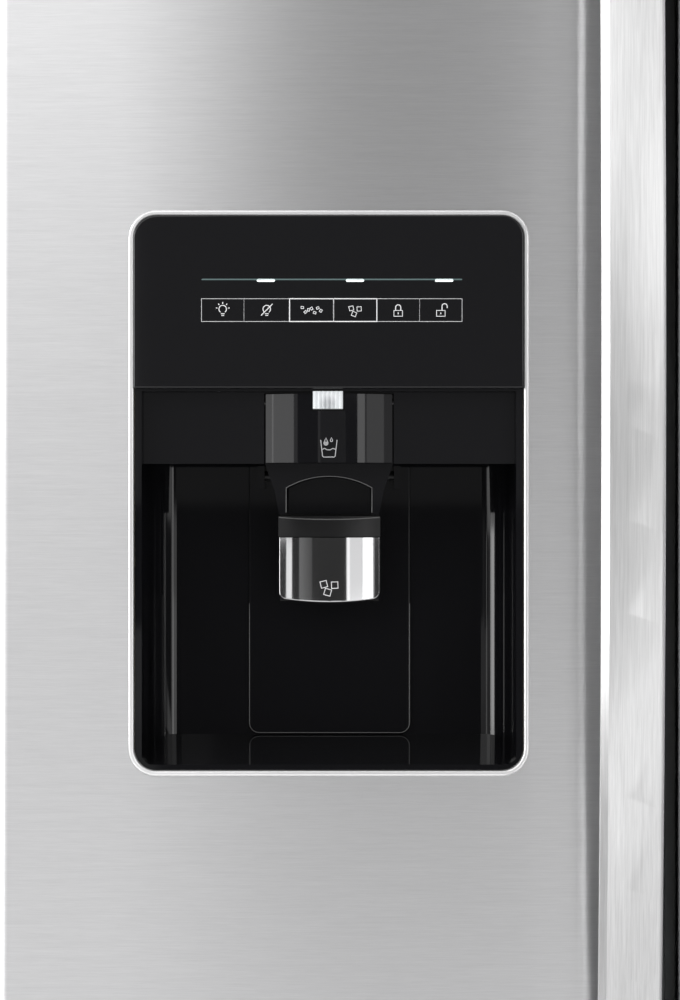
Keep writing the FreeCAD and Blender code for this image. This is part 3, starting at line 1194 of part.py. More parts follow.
def ice_chute():
    """The funnel under the duct, which narrows to the mouth above the glass."""
    top = PANEL_BOTTOM - CEILING_PLATE

    def funnel(inset, y, extra):
        half = CHUTE_HALF - inset
        neck = NECK_HALF - inset
        mouth = MOUTH_HALF - inset
        shape = [(-half, top + extra), (-half, APRON_BOTTOM), (-neck, NECK_Z), (-mouth, CHUTE_BOTTOM - extra),
                 (mouth, CHUTE_BOTTOM - extra), (neck, NECK_Z), (half, APRON_BOTTOM), (half, top + extra)]
        return across_y([(DISPENSER_X + x, z) for x, z in shape], y)

    outside = funnel(0.0, (CHUTE_FRONT, CHUTE_BACK), 0.0)
    inside = funnel(CHUTE_WALL, (CHUTE_FRONT + CHUTE_WALL, CHUTE_BACK - CHUTE_WALL), 1.0)
    pin = rod((DISPENSER_X - 60.0, FLAP_PIVOT_Y, FLAP_PIVOT_Z),
              (DISPENSER_X + 60.0, FLAP_PIVOT_Y, FLAP_PIVOT_Z), FLAP_PIN + FIT)

    def at(x, z):
        return Vector(DISPENSER_X + x, CHUTE_FRONT - 1.0, z)

    low = CHUTE_BOTTOM - 1.0
    edges = [line(at(ARCH_HALF, low), at(ARCH_HALF, ARCH_SPRING)),
             arc(at(ARCH_HALF, ARCH_SPRING), at(0, ARCH_CROWN), at(-ARCH_HALF, ARCH_SPRING)),
             line(at(-ARCH_HALF, ARCH_SPRING), at(-ARCH_HALF, low)),
             line(at(-ARCH_HALF, low), at(ARCH_HALF, low))]
    arch = Part.Face(Part.Wire(edges)).extrude(Vector(0, CHUTE_WALL + 1.5, 0))
    return outside.cut(inside).cut(pin).cut(arch)


def duct_volume(inset, extra):
    """The sloping duct from the ice bin's nose to the funnel."""
    front = CHUTE_FRONT + inset
    back = CHUTE_BACK - inset
    slope = DUCT_SHIFT / (DUCT_TOP - PANEL_BOTTOM)
    points = [(front - slope * extra, PANEL_BOTTOM - extra), (back - slope * extra, PANEL_BOTTOM - extra),
              (back + DUCT_SHIFT + slope * extra, DUCT_TOP + extra),
              (front + DUCT_SHIFT + slope * extra, DUCT_TOP + extra)]
    half = DUCT_HALF - inset
    return across_x(points, (DISPENSER_X - half, DISPENSER_X + half))


def chute_flap():
    """The door at the foot of the duct that keeps warm air out."""
    plate = block((DISPENSER_X - CHUTE_HALF + CHUTE_WALL + 0.7, DISPENSER_X + CHUTE_HALF - CHUTE_WALL - 0.7),
                  (CHUTE_FRONT + CHUTE_WALL + 1.5, FLAP_PIVOT_Y), (FLAP_PIVOT_Z - 1.0, FLAP_PIVOT_Z + 1.0))
    pin = rod((DISPENSER_X - CHUTE_HALF, FLAP_PIVOT_Y, FLAP_PIVOT_Z),
              (DISPENSER_X + CHUTE_HALF, FLAP_PIVOT_Y, FLAP_PIVOT_Z),
              FLAP_PIN)
    return joined([plate, pin])


def arc_block(half, side_y, middle_y, back_y, z):
    """A block with a front that bows forward."""
    def at(x, y):
        return Vector(DISPENSER_X + x, y, z[0])

    edges = [line(at(half, back_y), at(half, side_y)),
             arc(at(half, side_y), at(0, middle_y), at(-half, side_y)),
             line(at(-half, side_y), at(-half, back_y)), line(at(-half, back_y), at(half, back_y))]
    return Part.Face(Part.Wire(edges)).extrude(Vector(0, 0, z[1] - z[0]))


LENS_X = (DISPENSER_X - 9.4, DISPENSER_X + 8.2)
LENS_BOTTOM = PANEL_BOTTOM - 11.7
LENS_FRONT = DOOR_FRONT + 1.0
LENS_BACK = APRON_FRONT - 1.5


def water_pad():
    """The upper pad that calls for water: a bowed, hollow push piece hung from a pin."""
    bottom = APRON_BOTTOM + 0.6
    top = PANEL_BOTTOM - CEILING_PLATE - 1.5
    body = arc_block(PAD_HALF, APRON_FRONT - 1.0, DOOR_FRONT + 1.0, WATER_PIVOT_Y + 1.0, (bottom, top))
    room = arc_block(PAD_HALF - 3.0, APRON_FRONT + 1.5, DOOR_FRONT + 4.0, WATER_PIVOT_Y + 5.0,
                     (bottom + 3.0, WATER_PIVOT_Z - 6.0))
    notch = block((LENS_X[0] - 1.2, LENS_X[1] + 1.2), (DOOR_FRONT - 2.0, LENS_BACK + 1.0),
                  (LENS_BOTTOM - 1.3, top + 1.0))
    pin = rod((DISPENSER_X - PAD_HALF - 5.0, WATER_PIVOT_Y, WATER_PIVOT_Z),
              (DISPENSER_X + PAD_HALF + 5.0, WATER_PIVOT_Y, WATER_PIVOT_Z), WATER_PIN)
    return joined([body.cut(room).cut(notch), pin])


def lamp_lens():
    """Clear ribbed lens over the dispenser lamp, with the water spout inside it."""
    top = PANEL_BOTTOM - CEILING_PLATE
    lens = block(LENS_X, (LENS_FRONT + 1.0, LENS_BACK), (LENS_BOTTOM, top))
    pieces = [lens]
    ribs = 7
    pitch = (LENS_X[1] - LENS_X[0]) / ribs
    for rib in range(ribs):
        x = LENS_X[0] + (rib + 0.5) * pitch
        pieces.append(rod((x, LENS_FRONT + 1.0, LENS_BOTTOM), (x, LENS_FRONT + 1.0, top), pitch * 0.42))
    return joined(pieces)


ICE_PAD_HALF = 31.0
ICE_PAD_HEIGHT = 39.7
ICE_PAD_TOP = CHUTE_BOTTOM - 14.5
ICE_PAD_BOTTOM = ICE_PAD_TOP - ICE_PAD_HEIGHT
LEVER_FRONT = LEVER_Y - 6.0
LEVER_HALF = ICE_PAD_HALF - 1.0
PAD_EDGE = 2.4                           # the pad's thickness at its sides
PAD_BULGE = 7.6                          # and in its middle
PAD_SAG = 2.3                            # how far its lower edge dips in the middle
PAD_CORNER = 5.0
PAD_ROUND = 1.3


def ice_lever():
    """The lower lever, hung from a pin behind the funnel."""
    x = (DISPENSER_X - LEVER_HALF, DISPENSER_X + LEVER_HALF)
    plate = block(x, (LEVER_FRONT, LEVER_FRONT + 4.0), (ICE_PAD_BOTTOM + 1.0, LEVER_Z))
    bridge = block(x, (LEVER_FRONT, LEVER_Y), (LEVER_Z - 2.5, LEVER_Z + 2.5))
    brow = arc_block(ICE_PAD_HALF, LEVER_FRONT - PAD_EDGE, LEVER_FRONT - PAD_BULGE, LEVER_FRONT + 1.0,
                     (ICE_PAD_TOP + CLEAR, CHUTE_BOTTOM - 1.6))
    end = LEVER_EAR + EAR_WIDTH - 0.5
    pin = rod((DISPENSER_X - end, LEVER_Y, LEVER_Z), (DISPENSER_X + end, LEVER_Y, LEVER_Z), LEVER_PIN)
    return joined([plate, bridge, brow, pin])


def ice_pad():
    """The polished face of the ice lever, bowed across, with a lower edge that sags."""
    pad = arc_block(ICE_PAD_HALF, LEVER_FRONT - PAD_EDGE, LEVER_FRONT - PAD_BULGE, LEVER_FRONT,
                    (ICE_PAD_BOTTOM, ICE_PAD_TOP))

    def at(x, z):
        return Vector(DISPENSER_X + x, LEVER_FRONT - PAD_BULGE - 1.0, z)

    half = ICE_PAD_HALF
    side = ICE_PAD_BOTTOM + PAD_SAG
    edges = [line(at(half, ICE_PAD_TOP), at(half, side)),
             arc(at(half, side), at(0, ICE_PAD_BOTTOM), at(-half, side)),
             line(at(-half, side), at(-half, ICE_PAD_TOP)),
             line(at(-half, ICE_PAD_TOP), at(half, ICE_PAD_TOP))]
    pad = pad.common(Part.Face(Part.Wire(edges)).extrude(Vector(0, PAD_BULGE + 2.0, 0)))
    corners = []
    for edge in pad.Edges:
        box = edge.BoundBox
        if box.XLength < 0.01 and box.ZLength < 0.01 and box.ZMax < side + 0.1:
            corners.append(edge)
    pad = pad.makeFillet(PAD_CORNER, corners)
    front = []
    for edge in pad.Edges:
        box = edge.BoundBox
        if box.YMax < LEVER_FRONT - PAD_EDGE + 0.1 and box.ZMin < ICE_PAD_TOP - 1.0:
            front.append(edge)
    return pad.makeFillet(PAD_ROUND, front)


def dispenser_bump(grow):
    """Where the freezer door's inner sheet stands out round the recess and the duct."""
    half = CAVITY_HALF + HOUSING_WALL + 16.0 + grow
    recess = block((DISPENSER_X - half, DISPENSER_X + half),
                   (DOOR_BACK - LINER, CAVITY_BACK + HOUSING_WALL + 20.0 + grow),
                   (CAVITY_FLOOR - 20.0 - grow, PANEL_BOTTOM + 26.0 + grow))
    recess = rounded(recess, 14.0, Vector(0, 1, 0))
    duct_back = CHUTE_BACK + DUCT_SHIFT + 9.0 + grow
    top = DUCT_TOP - LINER + grow
    slope = 60.0
    half = DUCT_HALF + 14.0 + grow
    duct = across_x([(DOOR_BACK - LINER, PANEL_BOTTOM), (duct_back - slope, PANEL_BOTTOM),
                     (duct_back, DUCT_TOP - 40.0),
                     (duct_back, top), (DOOR_BACK - LINER, top)], (DISPENSER_X - half, DISPENSER_X + half))
    return [recess, duct]


def duct_sleeve():
    """The part of the door's insulation that is a moulded sleeve round the ice duct."""
    half = DUCT_HALF + 14.0
    return block((DISPENSER_X - half, DISPENSER_X + half), (DOOR_FRONT, NOSE_FRONT),
                 (PANEL_BOTTOM, DUCT_TOP - LINER))


# ---------------------------------------------------------------- door bins

BIN_DEPTH = 92.0


def door_bin(x, bottom, height, depth):
    """A clear bin between the door's ridges, with a deep front rail."""
    shape = tray(x, (DOOR_BACK, DOOR_BACK + depth), (bottom, bottom + height), 2.5, 10.0)
    return shape


def door_bins(hinge_wall, free_wall, places):
    direction = 1.0 if free_wall > hinge_wall else -1.0
    start = hinge_wall + direction * (HINGE_DIKE_INSET + DIKE)
    end = free_wall - direction * (DIKE_INSET + DIKE)
    x = tuple(sorted((start, end)))
    return [door_bin(x, bottom, height, depth) for bottom, height, depth in places]


DAIRY_BOTTOM = CEILING - 232.0
DAIRY_TOP = DAIRY_BOTTOM + 130.0
LOWEST_BIN = FLOOR + 48.0
BIN_APART = 310.0                        # between the fridge door's bins
BELOW_DISPENSER = (BEZEL_BOTTOM - LOWEST_BIN - 54.0) / 3
FREEZER_BINS = ((LOWEST_BIN, 105.0, BIN_DEPTH), (LOWEST_BIN + BELOW_DISPENSER, 105.0, BIN_DEPTH),
                (LOWEST_BIN + 2 * BELOW_DISPENSER, 105.0, BIN_DEPTH), (DUCT_TOP + 165.0, 105.0, BIN_DEPTH))
FRIDGE_BINS = ((LOWEST_BIN, 120.0, BIN_DEPTH), (LOWEST_BIN + BIN_APART, 120.0, BIN_DEPTH),
               (DAIRY_BOTTOM - 2 * BIN_APART, 105.0, BIN_DEPTH), (DAIRY_BOTTOM - BIN_APART, 105.0, BIN_DEPTH))
DAIRY_WALL = 2.5
LID_PIN = 2.5
LID_Z = DAIRY_TOP - 8.0


def dairy_span():
    start = FRIDGE_RIGHT - HINGE_DIKE_INSET - DIKE
    end = FRIDGE_LEFT + DIKE_INSET + DIKE
    return end, start


def dairy_box():
    """The covered compartment at the top of the fridge door, open on the side the lid closes."""
    x = dairy_span()
    outside = block(x, (DOOR_BACK, DOOR_BACK + BIN_DEPTH), (DAIRY_BOTTOM, DAIRY_TOP))
    inside = block((x[0] + DAIRY_WALL, x[1] - DAIRY_WALL),
                   (DOOR_BACK + DAIRY_WALL, DOOR_BACK + BIN_DEPTH + 1.0),
                   (DAIRY_BOTTOM + DAIRY_WALL, DAIRY_TOP - DAIRY_WALL))
    y = DOOR_BACK + BIN_DEPTH - 6.0
    pins = rod((x[0] - 1.0, y, LID_Z), (x[1] + 1.0, y, LID_Z), LID_PIN + FIT)
    return outside.cut(inside).cut(pins)


def dairy_lid():
    x = dairy_span()
    y = DOOR_BACK + BIN_DEPTH - 6.0
    side = DAIRY_WALL + CLEAR
    plate = block((x[0] + side, x[1] - side), (y, y + 3.0), (DAIRY_BOTTOM + DAIRY_WALL + 1.0, LID_Z + 1.0))
    pull = block((x[0] + 110.0, x[1] - 110.0), (y + 2.0, y + 12.0),
                 (DAIRY_BOTTOM + 10.0, DAIRY_BOTTOM + 15.0))
    pin = rod((x[0], y, LID_Z), (x[1], y, LID_Z), LID_PIN)
    return joined([plate, pull, pin])


# ---------------------------------------------------------------- build

def build_cabinet():
    keep("cabinet_wrapper", wrapper())
    keep("cabinet_back", block((LEFT, RIGHT), (BACK_SHEET, BACK), (MACHINE_TOP, CABINET_TOP)))
    keep("freezer_liner", liner(FREEZER_X, (MOUTH_LEFT, SEAM - RAIL_HALF), freezer_ledges()))
    keep("fridge_liner", liner(FRIDGE_X, (SEAM + RAIL_HALF, MOUTH_RIGHT), fridge_ledges()))
    keep("front_rails", front_rails())
    keep("base_frame", base_frame())
    foam = block((INSIDE_LEFT, INSIDE_RIGHT), (FLANGE + SHEET, BACK_SHEET),
                 (DOOR_BOTTOM, CABINET_TOP - SHEET))
    machine = block((LEFT, RIGHT), (MACHINE_FRONT, BACK), (0, MACHINE_TOP))
    foam = foam.cut(machine)
    for room in (compartment(FREEZER_X, LINER), compartment(FRIDGE_X, LINER)):
        foam = foam.cut(room)
    for name in ("freezer_liner", "fridge_liner", "front_rails", "hinge_screws"):
        foam = foam.cut(PARTS[name])
    keep("cabinet_foam", foam)
    keep("toe_grille", toe_grille())
    keep("machine_cover", machine_cover())
    keep("water_valve", water_valve())
    keep("compressor", compressor())
    keep("condenser", condenser())
    keep("drain_pan", drain_pan())
    keep("motors", *motors())
    keep("condenser_fan", condenser_fan())
    keep("rollers", *rollers())
    keep("foot_right", levelling_foot())
    keep("foot_left", mirrored(levelling_foot()))
    keep("door_hinges", top_hinge(), bottom_hinge(), mirrored(top_hinge()), mirrored(bottom_hinge()))
    keep("hinge_covers", hinge_cover(), mirrored(hinge_cover()))


def build_inside():
    keep("evaporator", evaporator())
    keep("evaporator_cover", evaporator_cover())
    keep("evaporator_fan", evaporator_fan())
    keep("freezer_racks", *freezer_racks())
    keep("ice_bin", *ice_bin())
    keep("ice_auger", *ice_auger())
    keep("ice_maker", ice_maker())
    keep("shutoff_arm", shutoff_arm())
    shelves = [(top, SHELF_BACK) for top in FRIDGE_SHELF_TOPS] + [(STEP_TOP, SHORT_SHELF_BACK)]
    keep("shelf_frames", *[shelf_frame(top, back) for top, back in shelves])
    keep("shelf_glass", *[shelf_glass(top, back) for top, back in shelves])
    lower = drawer((SHELF_FRONT, SHORT_SHELF_BACK), (FLOOR, STEP_TOP - 38.0))
    upper = drawer((SHELF_FRONT, SHELF_BACK), (STEP_TOP, STEP_TOP + 172.0))
    keep("fridge_drawers", lower, upper)
    keep("control_housing", control_housing())
    keep("freezer_dial", dial(DIAL_X[0]))
    keep("fridge_dial", dial(DIAL_X[1]))


def build_fridge_door():
    keep("fridge_door_skin", door_skin(RIGHT, FRIDGE_EDGE))
    keep("fridge_door_caps", *door_caps(RIGHT, FRIDGE_EDGE))
    keep("fridge_door_liner", door_liner(RIGHT, FRIDGE_EDGE, dikes(FRIDGE_RIGHT, FRIDGE_LEFT, LINER),
                                         dikes(FRIDGE_RIGHT, FRIDGE_LEFT, 0.0)))
    keep("fridge_door_foam", door_foam(RIGHT, FRIDGE_EDGE, dikes(FRIDGE_RIGHT, FRIDGE_LEFT, 0.0)))
    keep("fridge_door_gasket", gasket(RIGHT, FRIDGE_EDGE))
    door = door_volume(RIGHT, FRIDGE_EDGE, 0.0, DOOR_THICKNESS, (DOOR_BOTTOM, DOOR_TOP))
    keep("fridge_handle", handle(FRIDGE_EDGE, 1.0, door))
    keep("fridge_door_bins", *door_bins(FRIDGE_RIGHT, FRIDGE_LEFT, FRIDGE_BINS), dairy_box())
    keep("dairy_lid", dairy_lid())


def build_freezer_door():
    opening = bezel_outline(0.0, (DOOR_FRONT - 20.0, BEZEL_BACK))
    recess = housing_volume()
    duct = duct_volume(0.0, 0.0)
    bumps = dikes(FREEZER_LEFT, FREEZER_RIGHT, LINER) + dispenser_bump(LINER)
    cores = dikes(FREEZER_LEFT, FREEZER_RIGHT, 0.0) + dispenser_bump(0.0)
    keep("freezer_door_skin", door_skin(LEFT, FREEZER_EDGE).cut(opening))
    keep("freezer_door_caps", *door_caps(LEFT, FREEZER_EDGE))
    keep("freezer_door_liner", door_liner(LEFT, FREEZER_EDGE, bumps, cores).cut(duct_volume(0.0, 3.0)))
    foam = door_foam(LEFT, FREEZER_EDGE, cores)
    for hole in (opening, recess, duct_volume(0.0, 1.0)):
        foam = foam.cut(hole)
    sleeve = duct_sleeve()
    keep("freezer_door_foam", foam.cut(sleeve), foam.common(sleeve))
    keep("freezer_door_gasket", gasket(LEFT, FREEZER_EDGE))
    door = door_volume(LEFT, FREEZER_EDGE, 0.0, DOOR_THICKNESS, (DOOR_BOTTOM, DOOR_TOP))
    keep("freezer_handle", handle(FREEZER_EDGE, -1.0, door))
    keep("freezer_door_bins", *door_bins(FREEZER_LEFT, FREEZER_RIGHT, FREEZER_BINS))
    keep("dispenser_bezel", bezel())
    keep("control_panel", control_panel())
    keep("dispenser_housing", dispenser_housing())
    keep("ice_chute", ice_chute())
    keep("ice_duct", duct.cut(duct_volume(CHUTE_WALL, 1.0)))
    keep("lamp_lens", lamp_lens())
    keep("water_pad", water_pad())
    keep("chute_flap", chute_flap())
    keep("ice_lever", ice_lever())
    keep("ice_pad", ice_pad())


def main():
    build_cabinet()
    build_inside()
    build_fridge_door()
    build_freezer_door()
    os.makedirs("parts", exist_ok=True)
    for name, shape in PARTS.items():
        if not shape.isValid():
            print("not valid:", name)
        shape.exportStep("parts/" + name + ".step")
    whole = Part.makeCompound(list(PARTS.values())).BoundBox
    print(len(PARTS), "nodes,", sum(len(shape.Solids) for shape in PARTS.values()), "solids")
    print("size", round(whole.XLength, 1), round(whole.YLength, 1), round(whole.ZLength, 1))
    print("from", round(whole.XMin, 1), round(whole.YMin, 1), round(whole.ZMin, 1))


main()
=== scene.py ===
# %% [markdown]
# # A side by side refrigerator, dressed for the studio
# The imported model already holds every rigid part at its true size: doors, handles, hinges, the
# dispenser with its pads and funnel, and everything inside the cabinet. This notebook keeps those
# parts where they are, gives each one a finish, and adds the small things that are printed, lit,
# moulded or soft.

# %% Load the frame
import json
import math

import bmesh
import bpy
from mathutils import Matrix, Vector


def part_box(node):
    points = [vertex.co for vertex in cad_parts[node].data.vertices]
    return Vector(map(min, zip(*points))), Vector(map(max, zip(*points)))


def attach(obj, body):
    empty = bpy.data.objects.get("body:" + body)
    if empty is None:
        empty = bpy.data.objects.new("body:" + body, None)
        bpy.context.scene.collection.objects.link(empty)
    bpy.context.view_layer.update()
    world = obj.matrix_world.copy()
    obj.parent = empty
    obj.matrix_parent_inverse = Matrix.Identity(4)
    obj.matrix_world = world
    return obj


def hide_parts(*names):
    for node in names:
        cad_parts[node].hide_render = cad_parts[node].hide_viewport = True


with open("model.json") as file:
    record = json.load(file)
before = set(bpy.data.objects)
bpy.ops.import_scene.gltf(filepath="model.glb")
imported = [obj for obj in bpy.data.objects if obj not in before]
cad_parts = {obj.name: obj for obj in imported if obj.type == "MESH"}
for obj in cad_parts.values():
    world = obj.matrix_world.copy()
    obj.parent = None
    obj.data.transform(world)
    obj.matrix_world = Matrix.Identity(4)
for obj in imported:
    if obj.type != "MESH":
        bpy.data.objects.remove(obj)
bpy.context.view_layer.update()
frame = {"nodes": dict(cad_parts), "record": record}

nodes = frame["nodes"]

# %% [markdown]
# ## Places that later steps share
# A sign is printed on a panel and a seal sits in a door, so their places belong to those parts.
# They could be typed in as numbers, but each part's box is read here instead: if a part moves or
# grows in the model, whatever is printed on it or seated in it follows.

# %% Boxes of the parts that get details
MM = 0.001


def middle(low, high):
    """The point halfway between two corners."""
    return (low + high) / 2


bezel_low, bezel_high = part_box("dispenser_bezel")
panel_low, panel_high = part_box("control_panel")
water_low, water_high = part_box("water_pad")
ice_low, ice_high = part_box("ice_pad")
lens_low, lens_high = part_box("lamp_lens")
DISPENSER_X = middle(bezel_low, bezel_high).x
DOOR_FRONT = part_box("freezer_door_skin")[0].y
print("dispenser centre x", round(DISPENSER_X, 4), "door front y", round(DOOR_FRONT, 4))

# %% [markdown]
# ## Camera
# A product close-up is taken square to the door from about a metre and a half, with a short
# telephoto lens, so that upright edges stay upright. The lens is worked out from the height of
# door that the picture takes in.

# %% Camera square to the freezer door
CAMERA_DISTANCE = 1.5
CAMERA_ASIDE = 6.5 * MM
CAMERA_DOWN = 4.0 * MM
VIEW_HEIGHT = 0.585
SENSOR = 36.0
camera_data = bpy.data.cameras.new("camera")
camera_data.sensor_width = SENSOR
camera_data.lens = SENSOR * CAMERA_DISTANCE / VIEW_HEIGHT
camera = bpy.data.objects.new("camera", camera_data)
bpy.context.scene.collection.objects.link(camera)
camera.location = (
    DISPENSER_X + CAMERA_ASIDE,
    DOOR_FRONT - CAMERA_DISTANCE,
    middle(bezel_low, bezel_high).z - CAMERA_DOWN,
)
camera.rotation_euler = (math.radians(90), 0, 0)
bpy.context.scene.camera = camera
print("lens", round(camera_data.lens, 1), "mm at", tuple(round(v, 3) for v in camera.location))

# %% [markdown]
# ## Studio
# A pale floor, a pale grey surround and large soft panels. Brushed steel shows the panels as broad
# bands, so where a panel ends is as much a part of the finish as the steel is. The Standard view
# keeps a colour as it is written, so a shade can be judged by its number.

# %% Colour settings, world and floor
SURROUND_COLOUR = (0.98, 0.975, 0.985, 1)
SURROUND_STRENGTH = 0.55
FLOOR_HALF = 12
scene = bpy.context.scene
scene.view_settings.view_transform = "Standard"
world = bpy.data.worlds.new("studio")
scene.world = world
world.use_nodes = True
surround = world.node_tree.nodes["Background"]
surround.inputs["Color"].default_value = SURROUND_COLOUR
surround.inputs["Strength"].default_value = SURROUND_STRENGTH


def link_object(name, mesh):
    """Put a mesh in the scene as an object at the origin."""
    made = bpy.data.objects.new(name, mesh)
    scene.collection.objects.link(made)
    return made


def mesh_from(bm, name):
    """Write a bmesh out as a mesh with outward faces, and free it."""
    bmesh.ops.recalc_face_normals(bm, faces=bm.faces)
    mesh = bpy.data.meshes.new(name)
    bm.to_mesh(mesh)
    bm.free()
    return mesh


floor_mesh = bmesh.new()
bmesh.ops.create_grid(floor_mesh, x_segments=1, y_segments=1, size=FLOOR_HALF)
floor = link_object("studio_floor", mesh_from(floor_mesh, "studio_floor"))

# %% Soft panels
FRONT_TARGET_Y = -0.37


def soft_panel(name, place, target, size, power):
    """A rectangular lamp at one point that faces another."""
    lamp = bpy.data.lights.new(name, "AREA")
    lamp.shape = "RECTANGLE"
    lamp.size, lamp.size_y = size
    lamp.energy = power
    made = bpy.data.objects.new(name, lamp)
    scene.collection.objects.link(made)
    made.location = place
    made.rotation_euler = (Vector(target) - Vector(place)).to_track_quat("-Z", "Y").to_euler()


def front_panel(name, x, y, z, size, power):
    """A soft panel that hangs square to the doors."""
    soft_panel(name, (x, y, z), (x, FRONT_TARGET_Y, z), size, power)


# %% [markdown]
# ### Lamps for the steel
# The upper left of the door fades from white to grey, so its key lamp hangs high on that side. The
# lower half is lit evenly from low in front. The crease and the handle, which turn away from the
# camera, have lamps of their own on both sides. One great lamp would be simpler, but with several
# small ones each band on the steel is set without moving the others.

# %% Lamps
soft_panel("key_panel", (-1.38, -2.5, 2.35), (-0.3, -0.37, 1.3), (1.9, 1.3), 15)
front_panel("low_panel", -0.62, -2.9, 0.30, (1.6, 0.5), 2.6)
soft_panel("band_panel", (-1.81, -1.93, 1.45), (-0.26, -0.37, 1.45), (0.86, 0.75), 3.2)
front_panel("right_panel", 0.855, -3.0, 0.505, (0.91, 0.89), 3.2)
front_panel("pad_panel", 0.61, -3.0, 1.025, (0.78, 0.15), 0.25)
front_panel("crease_panel", 1.0, -2.9, 2.25, (1.0, 0.9), 3.2)
front_panel("crease_strip", 0.41, -2.9, 1.6, (0.10, 2.2), 0.4)
front_panel("edge_panel", 1.3, -3.05, 1.2, (0.5, 1.6), 5.0)
front_panel("handle_panel", 0.80, -2.95, 1.56, (0.7, 0.45), 2.0)
soft_panel("wall_strip", (-2.2, -1.62, 0.92), (-0.156, -0.281, 1.06), (0.7, 0.32), 4.2)
soft_panel("tall_panel", (1.45, -2.1, 1.3), (-0.05, -0.37, 1.3), (0.75, 1.8), 3.2)
soft_panel("left_panel", (-2.4, -1.2, 1.58), (-0.3, -0.37, 1.2), (1.2, 1.75), 10.5)
soft_panel("graze_panel", (-2.3, -0.45, 1.45), (-0.1, -0.40, 1.45), (0.9, 1.3), 24.0)
soft_panel("left_strip", (-1.62, -2.55, 0.72), (-0.26, -0.38, 0.85), (0.2, 0.7), 0.6)
soft_panel("top_panel", (0.0, 0.2, 3.4), (0.0, 0.0, 1.0), (2.6, 2.6), 40)
soft_panel("back_panel", (1.2, 3.0, 2.0), (0.0, 0.3, 1.0), (2.0, 2.0), 40)
print("lamps", len(bpy.data.lights))

# %% [markdown]
# ### Cards for the black parts
# Gloss black mirrors whatever stands in front of it. A darker surround would keep it black, but
# would dull the steel as well, so each card hides one lamp or a piece of the pale surround from
# one glossy part. The cards are seen only in reflections: they throw no shadow and no light worth
# naming.

# %% Cards that only reflections see
cards = {"card_dim": [], "card_dark": [], "card_fading": []}


def card(name, finish, low, high, y):
    """A card square to the door, from one (x, z) corner to the opposite one."""
    bm = bmesh.new()
    bmesh.ops.create_grid(bm, x_segments=1, y_segments=1, size=0.5)
    bmesh.ops.rotate(bm, verts=bm.verts, matrix=Matrix.Rotation(math.radians(90), 3, "X"))
    bmesh.ops.scale(bm, verts=bm.verts, vec=(high[0] - low[0], 1, high[1] - low[1]))
    bmesh.ops.translate(bm, verts=bm.verts, vec=((low[0] + high[0]) / 2, y, (low[1] + high[1]) / 2))
    made = link_object(name, mesh_from(bm, name))
    made.visible_camera = False
    made.visible_diffuse = False
    made.visible_shadow = False
    cards[finish].append(made)


FADE_FROM = -1.33
FADE_TO = -0.62
card("dark_card", "card_dim", (-0.42, 1.10), (0.16, 2.3), -2.0)
card("panel_card", "card_dim", (-0.50, 1.10), (-0.42, 1.51), -2.0)
card("low_card", "card_dark", (-0.475, 0.72), (0.13, 1.12), -1.98)
card("pad_card", "card_dark", (-0.66, 0.97), (-0.475, 1.12), -1.98)
card("side_card", "card_dark", (-2.3, 0.9), (-1.36, 1.12), -2.85)
card("left_card", "card_dark", (-1.72, 1.08), (-0.73, 1.75), -2.9)
card("right_card", "card_dark", (0.37, 1.12), (1.02, 1.32), -2.9)
card("corner_card", "card_dark", (0.58, 0.86), (1.75, 1.10), -1.5)
card("grey_card", "card_fading", (FADE_FROM, 0.93), (FADE_TO, 1.10), -2.78)
print("cards", sum(len(group) for group in cards.values()))

# %% [markdown]
# ## Shader groups
# Brushed grain and moulded texture are needed by several finishes. The nodes could be repeated in
# each material, but a group with named inputs is built once, and every material sets its own
# values. The groups give out only heights and masks that change over the surface.

# %% Helpers for node trees


def add(tree, kind, **settings):
    """A new node of one kind, with its settings."""
    node = tree.nodes.new(kind)
    for key, value in settings.items():
        setattr(node, key, value)
    return node


def new_group(name, inputs, outputs):
    """A shader group with (name, socket type, default) inputs and (name, socket type) outputs."""
    group = bpy.data.node_groups.new(name, "ShaderNodeTree")
    for label, kind, value in inputs:
        socket = group.interface.new_socket(label, in_out="INPUT", socket_type=kind)
        if value is not None:
            socket.default_value = value
    for label, kind in outputs:
        group.interface.new_socket(label, in_out="OUTPUT", socket_type=kind)
    return group, add(group, "NodeGroupInput"), add(group, "NodeGroupOutput")


def stretched_noise(group, vector, stretch, detail):
    """Noise on coordinates stretched differently along each axis."""
    mapping = add(group, "ShaderNodeMapping")
    mapping.inputs["Scale"].default_value = stretch
    group.links.new(vector, mapping.inputs["Vector"])
    noise = add(group, "ShaderNodeTexNoise")
    noise.inputs["Scale"].default_value = 1.0
    noise.inputs["Detail"].default_value = detail
    noise.inputs["Roughness"].default_value = 0.6
    group.links.new(mapping.outputs["Vector"], noise.inputs["Vector"])
    return noise.outputs["Fac"]


def mixed(group, first, second, share):
    """A weighted mean of two values."""
    mix = add(group, "ShaderNodeMix", data_type="FLOAT")
    mix.inputs["Factor"].default_value = share
    group.links.new(first, mix.inputs[2])
    group.links.new(second, mix.inputs[3])
    return mix.outputs[0]


# %% Brushed grain group


def brushed_grain(name, fine, coarse):
    """Short scratches over long soft streaks; fine and coarse are the noise stretches."""
    group, entry, leave = new_group(
        name,
        [("Vector", "NodeSocketVector", None)],
        [("Height", "NodeSocketFloat"), ("Streaks", "NodeSocketFloat")],
    )
    scratches = stretched_noise(group, entry.outputs["Vector"], fine, 3.0)
    streaks = stretched_noise(group, entry.outputs["Vector"], coarse, 4.0)
    group.links.new(scratches, leave.inputs["Height"])
    group.links.new(mixed(group, scratches, streaks, 0.45), leave.inputs["Streaks"])
    return group


# The stretches are grains per metre along X, Y and Z.
GRAIN_ACROSS = brushed_grain("grain across", (70, 400, 1900), (16, 120, 520))
GRAIN_UPRIGHT = brushed_grain("grain upright", (1500, 400, 30), (560, 200, 9))

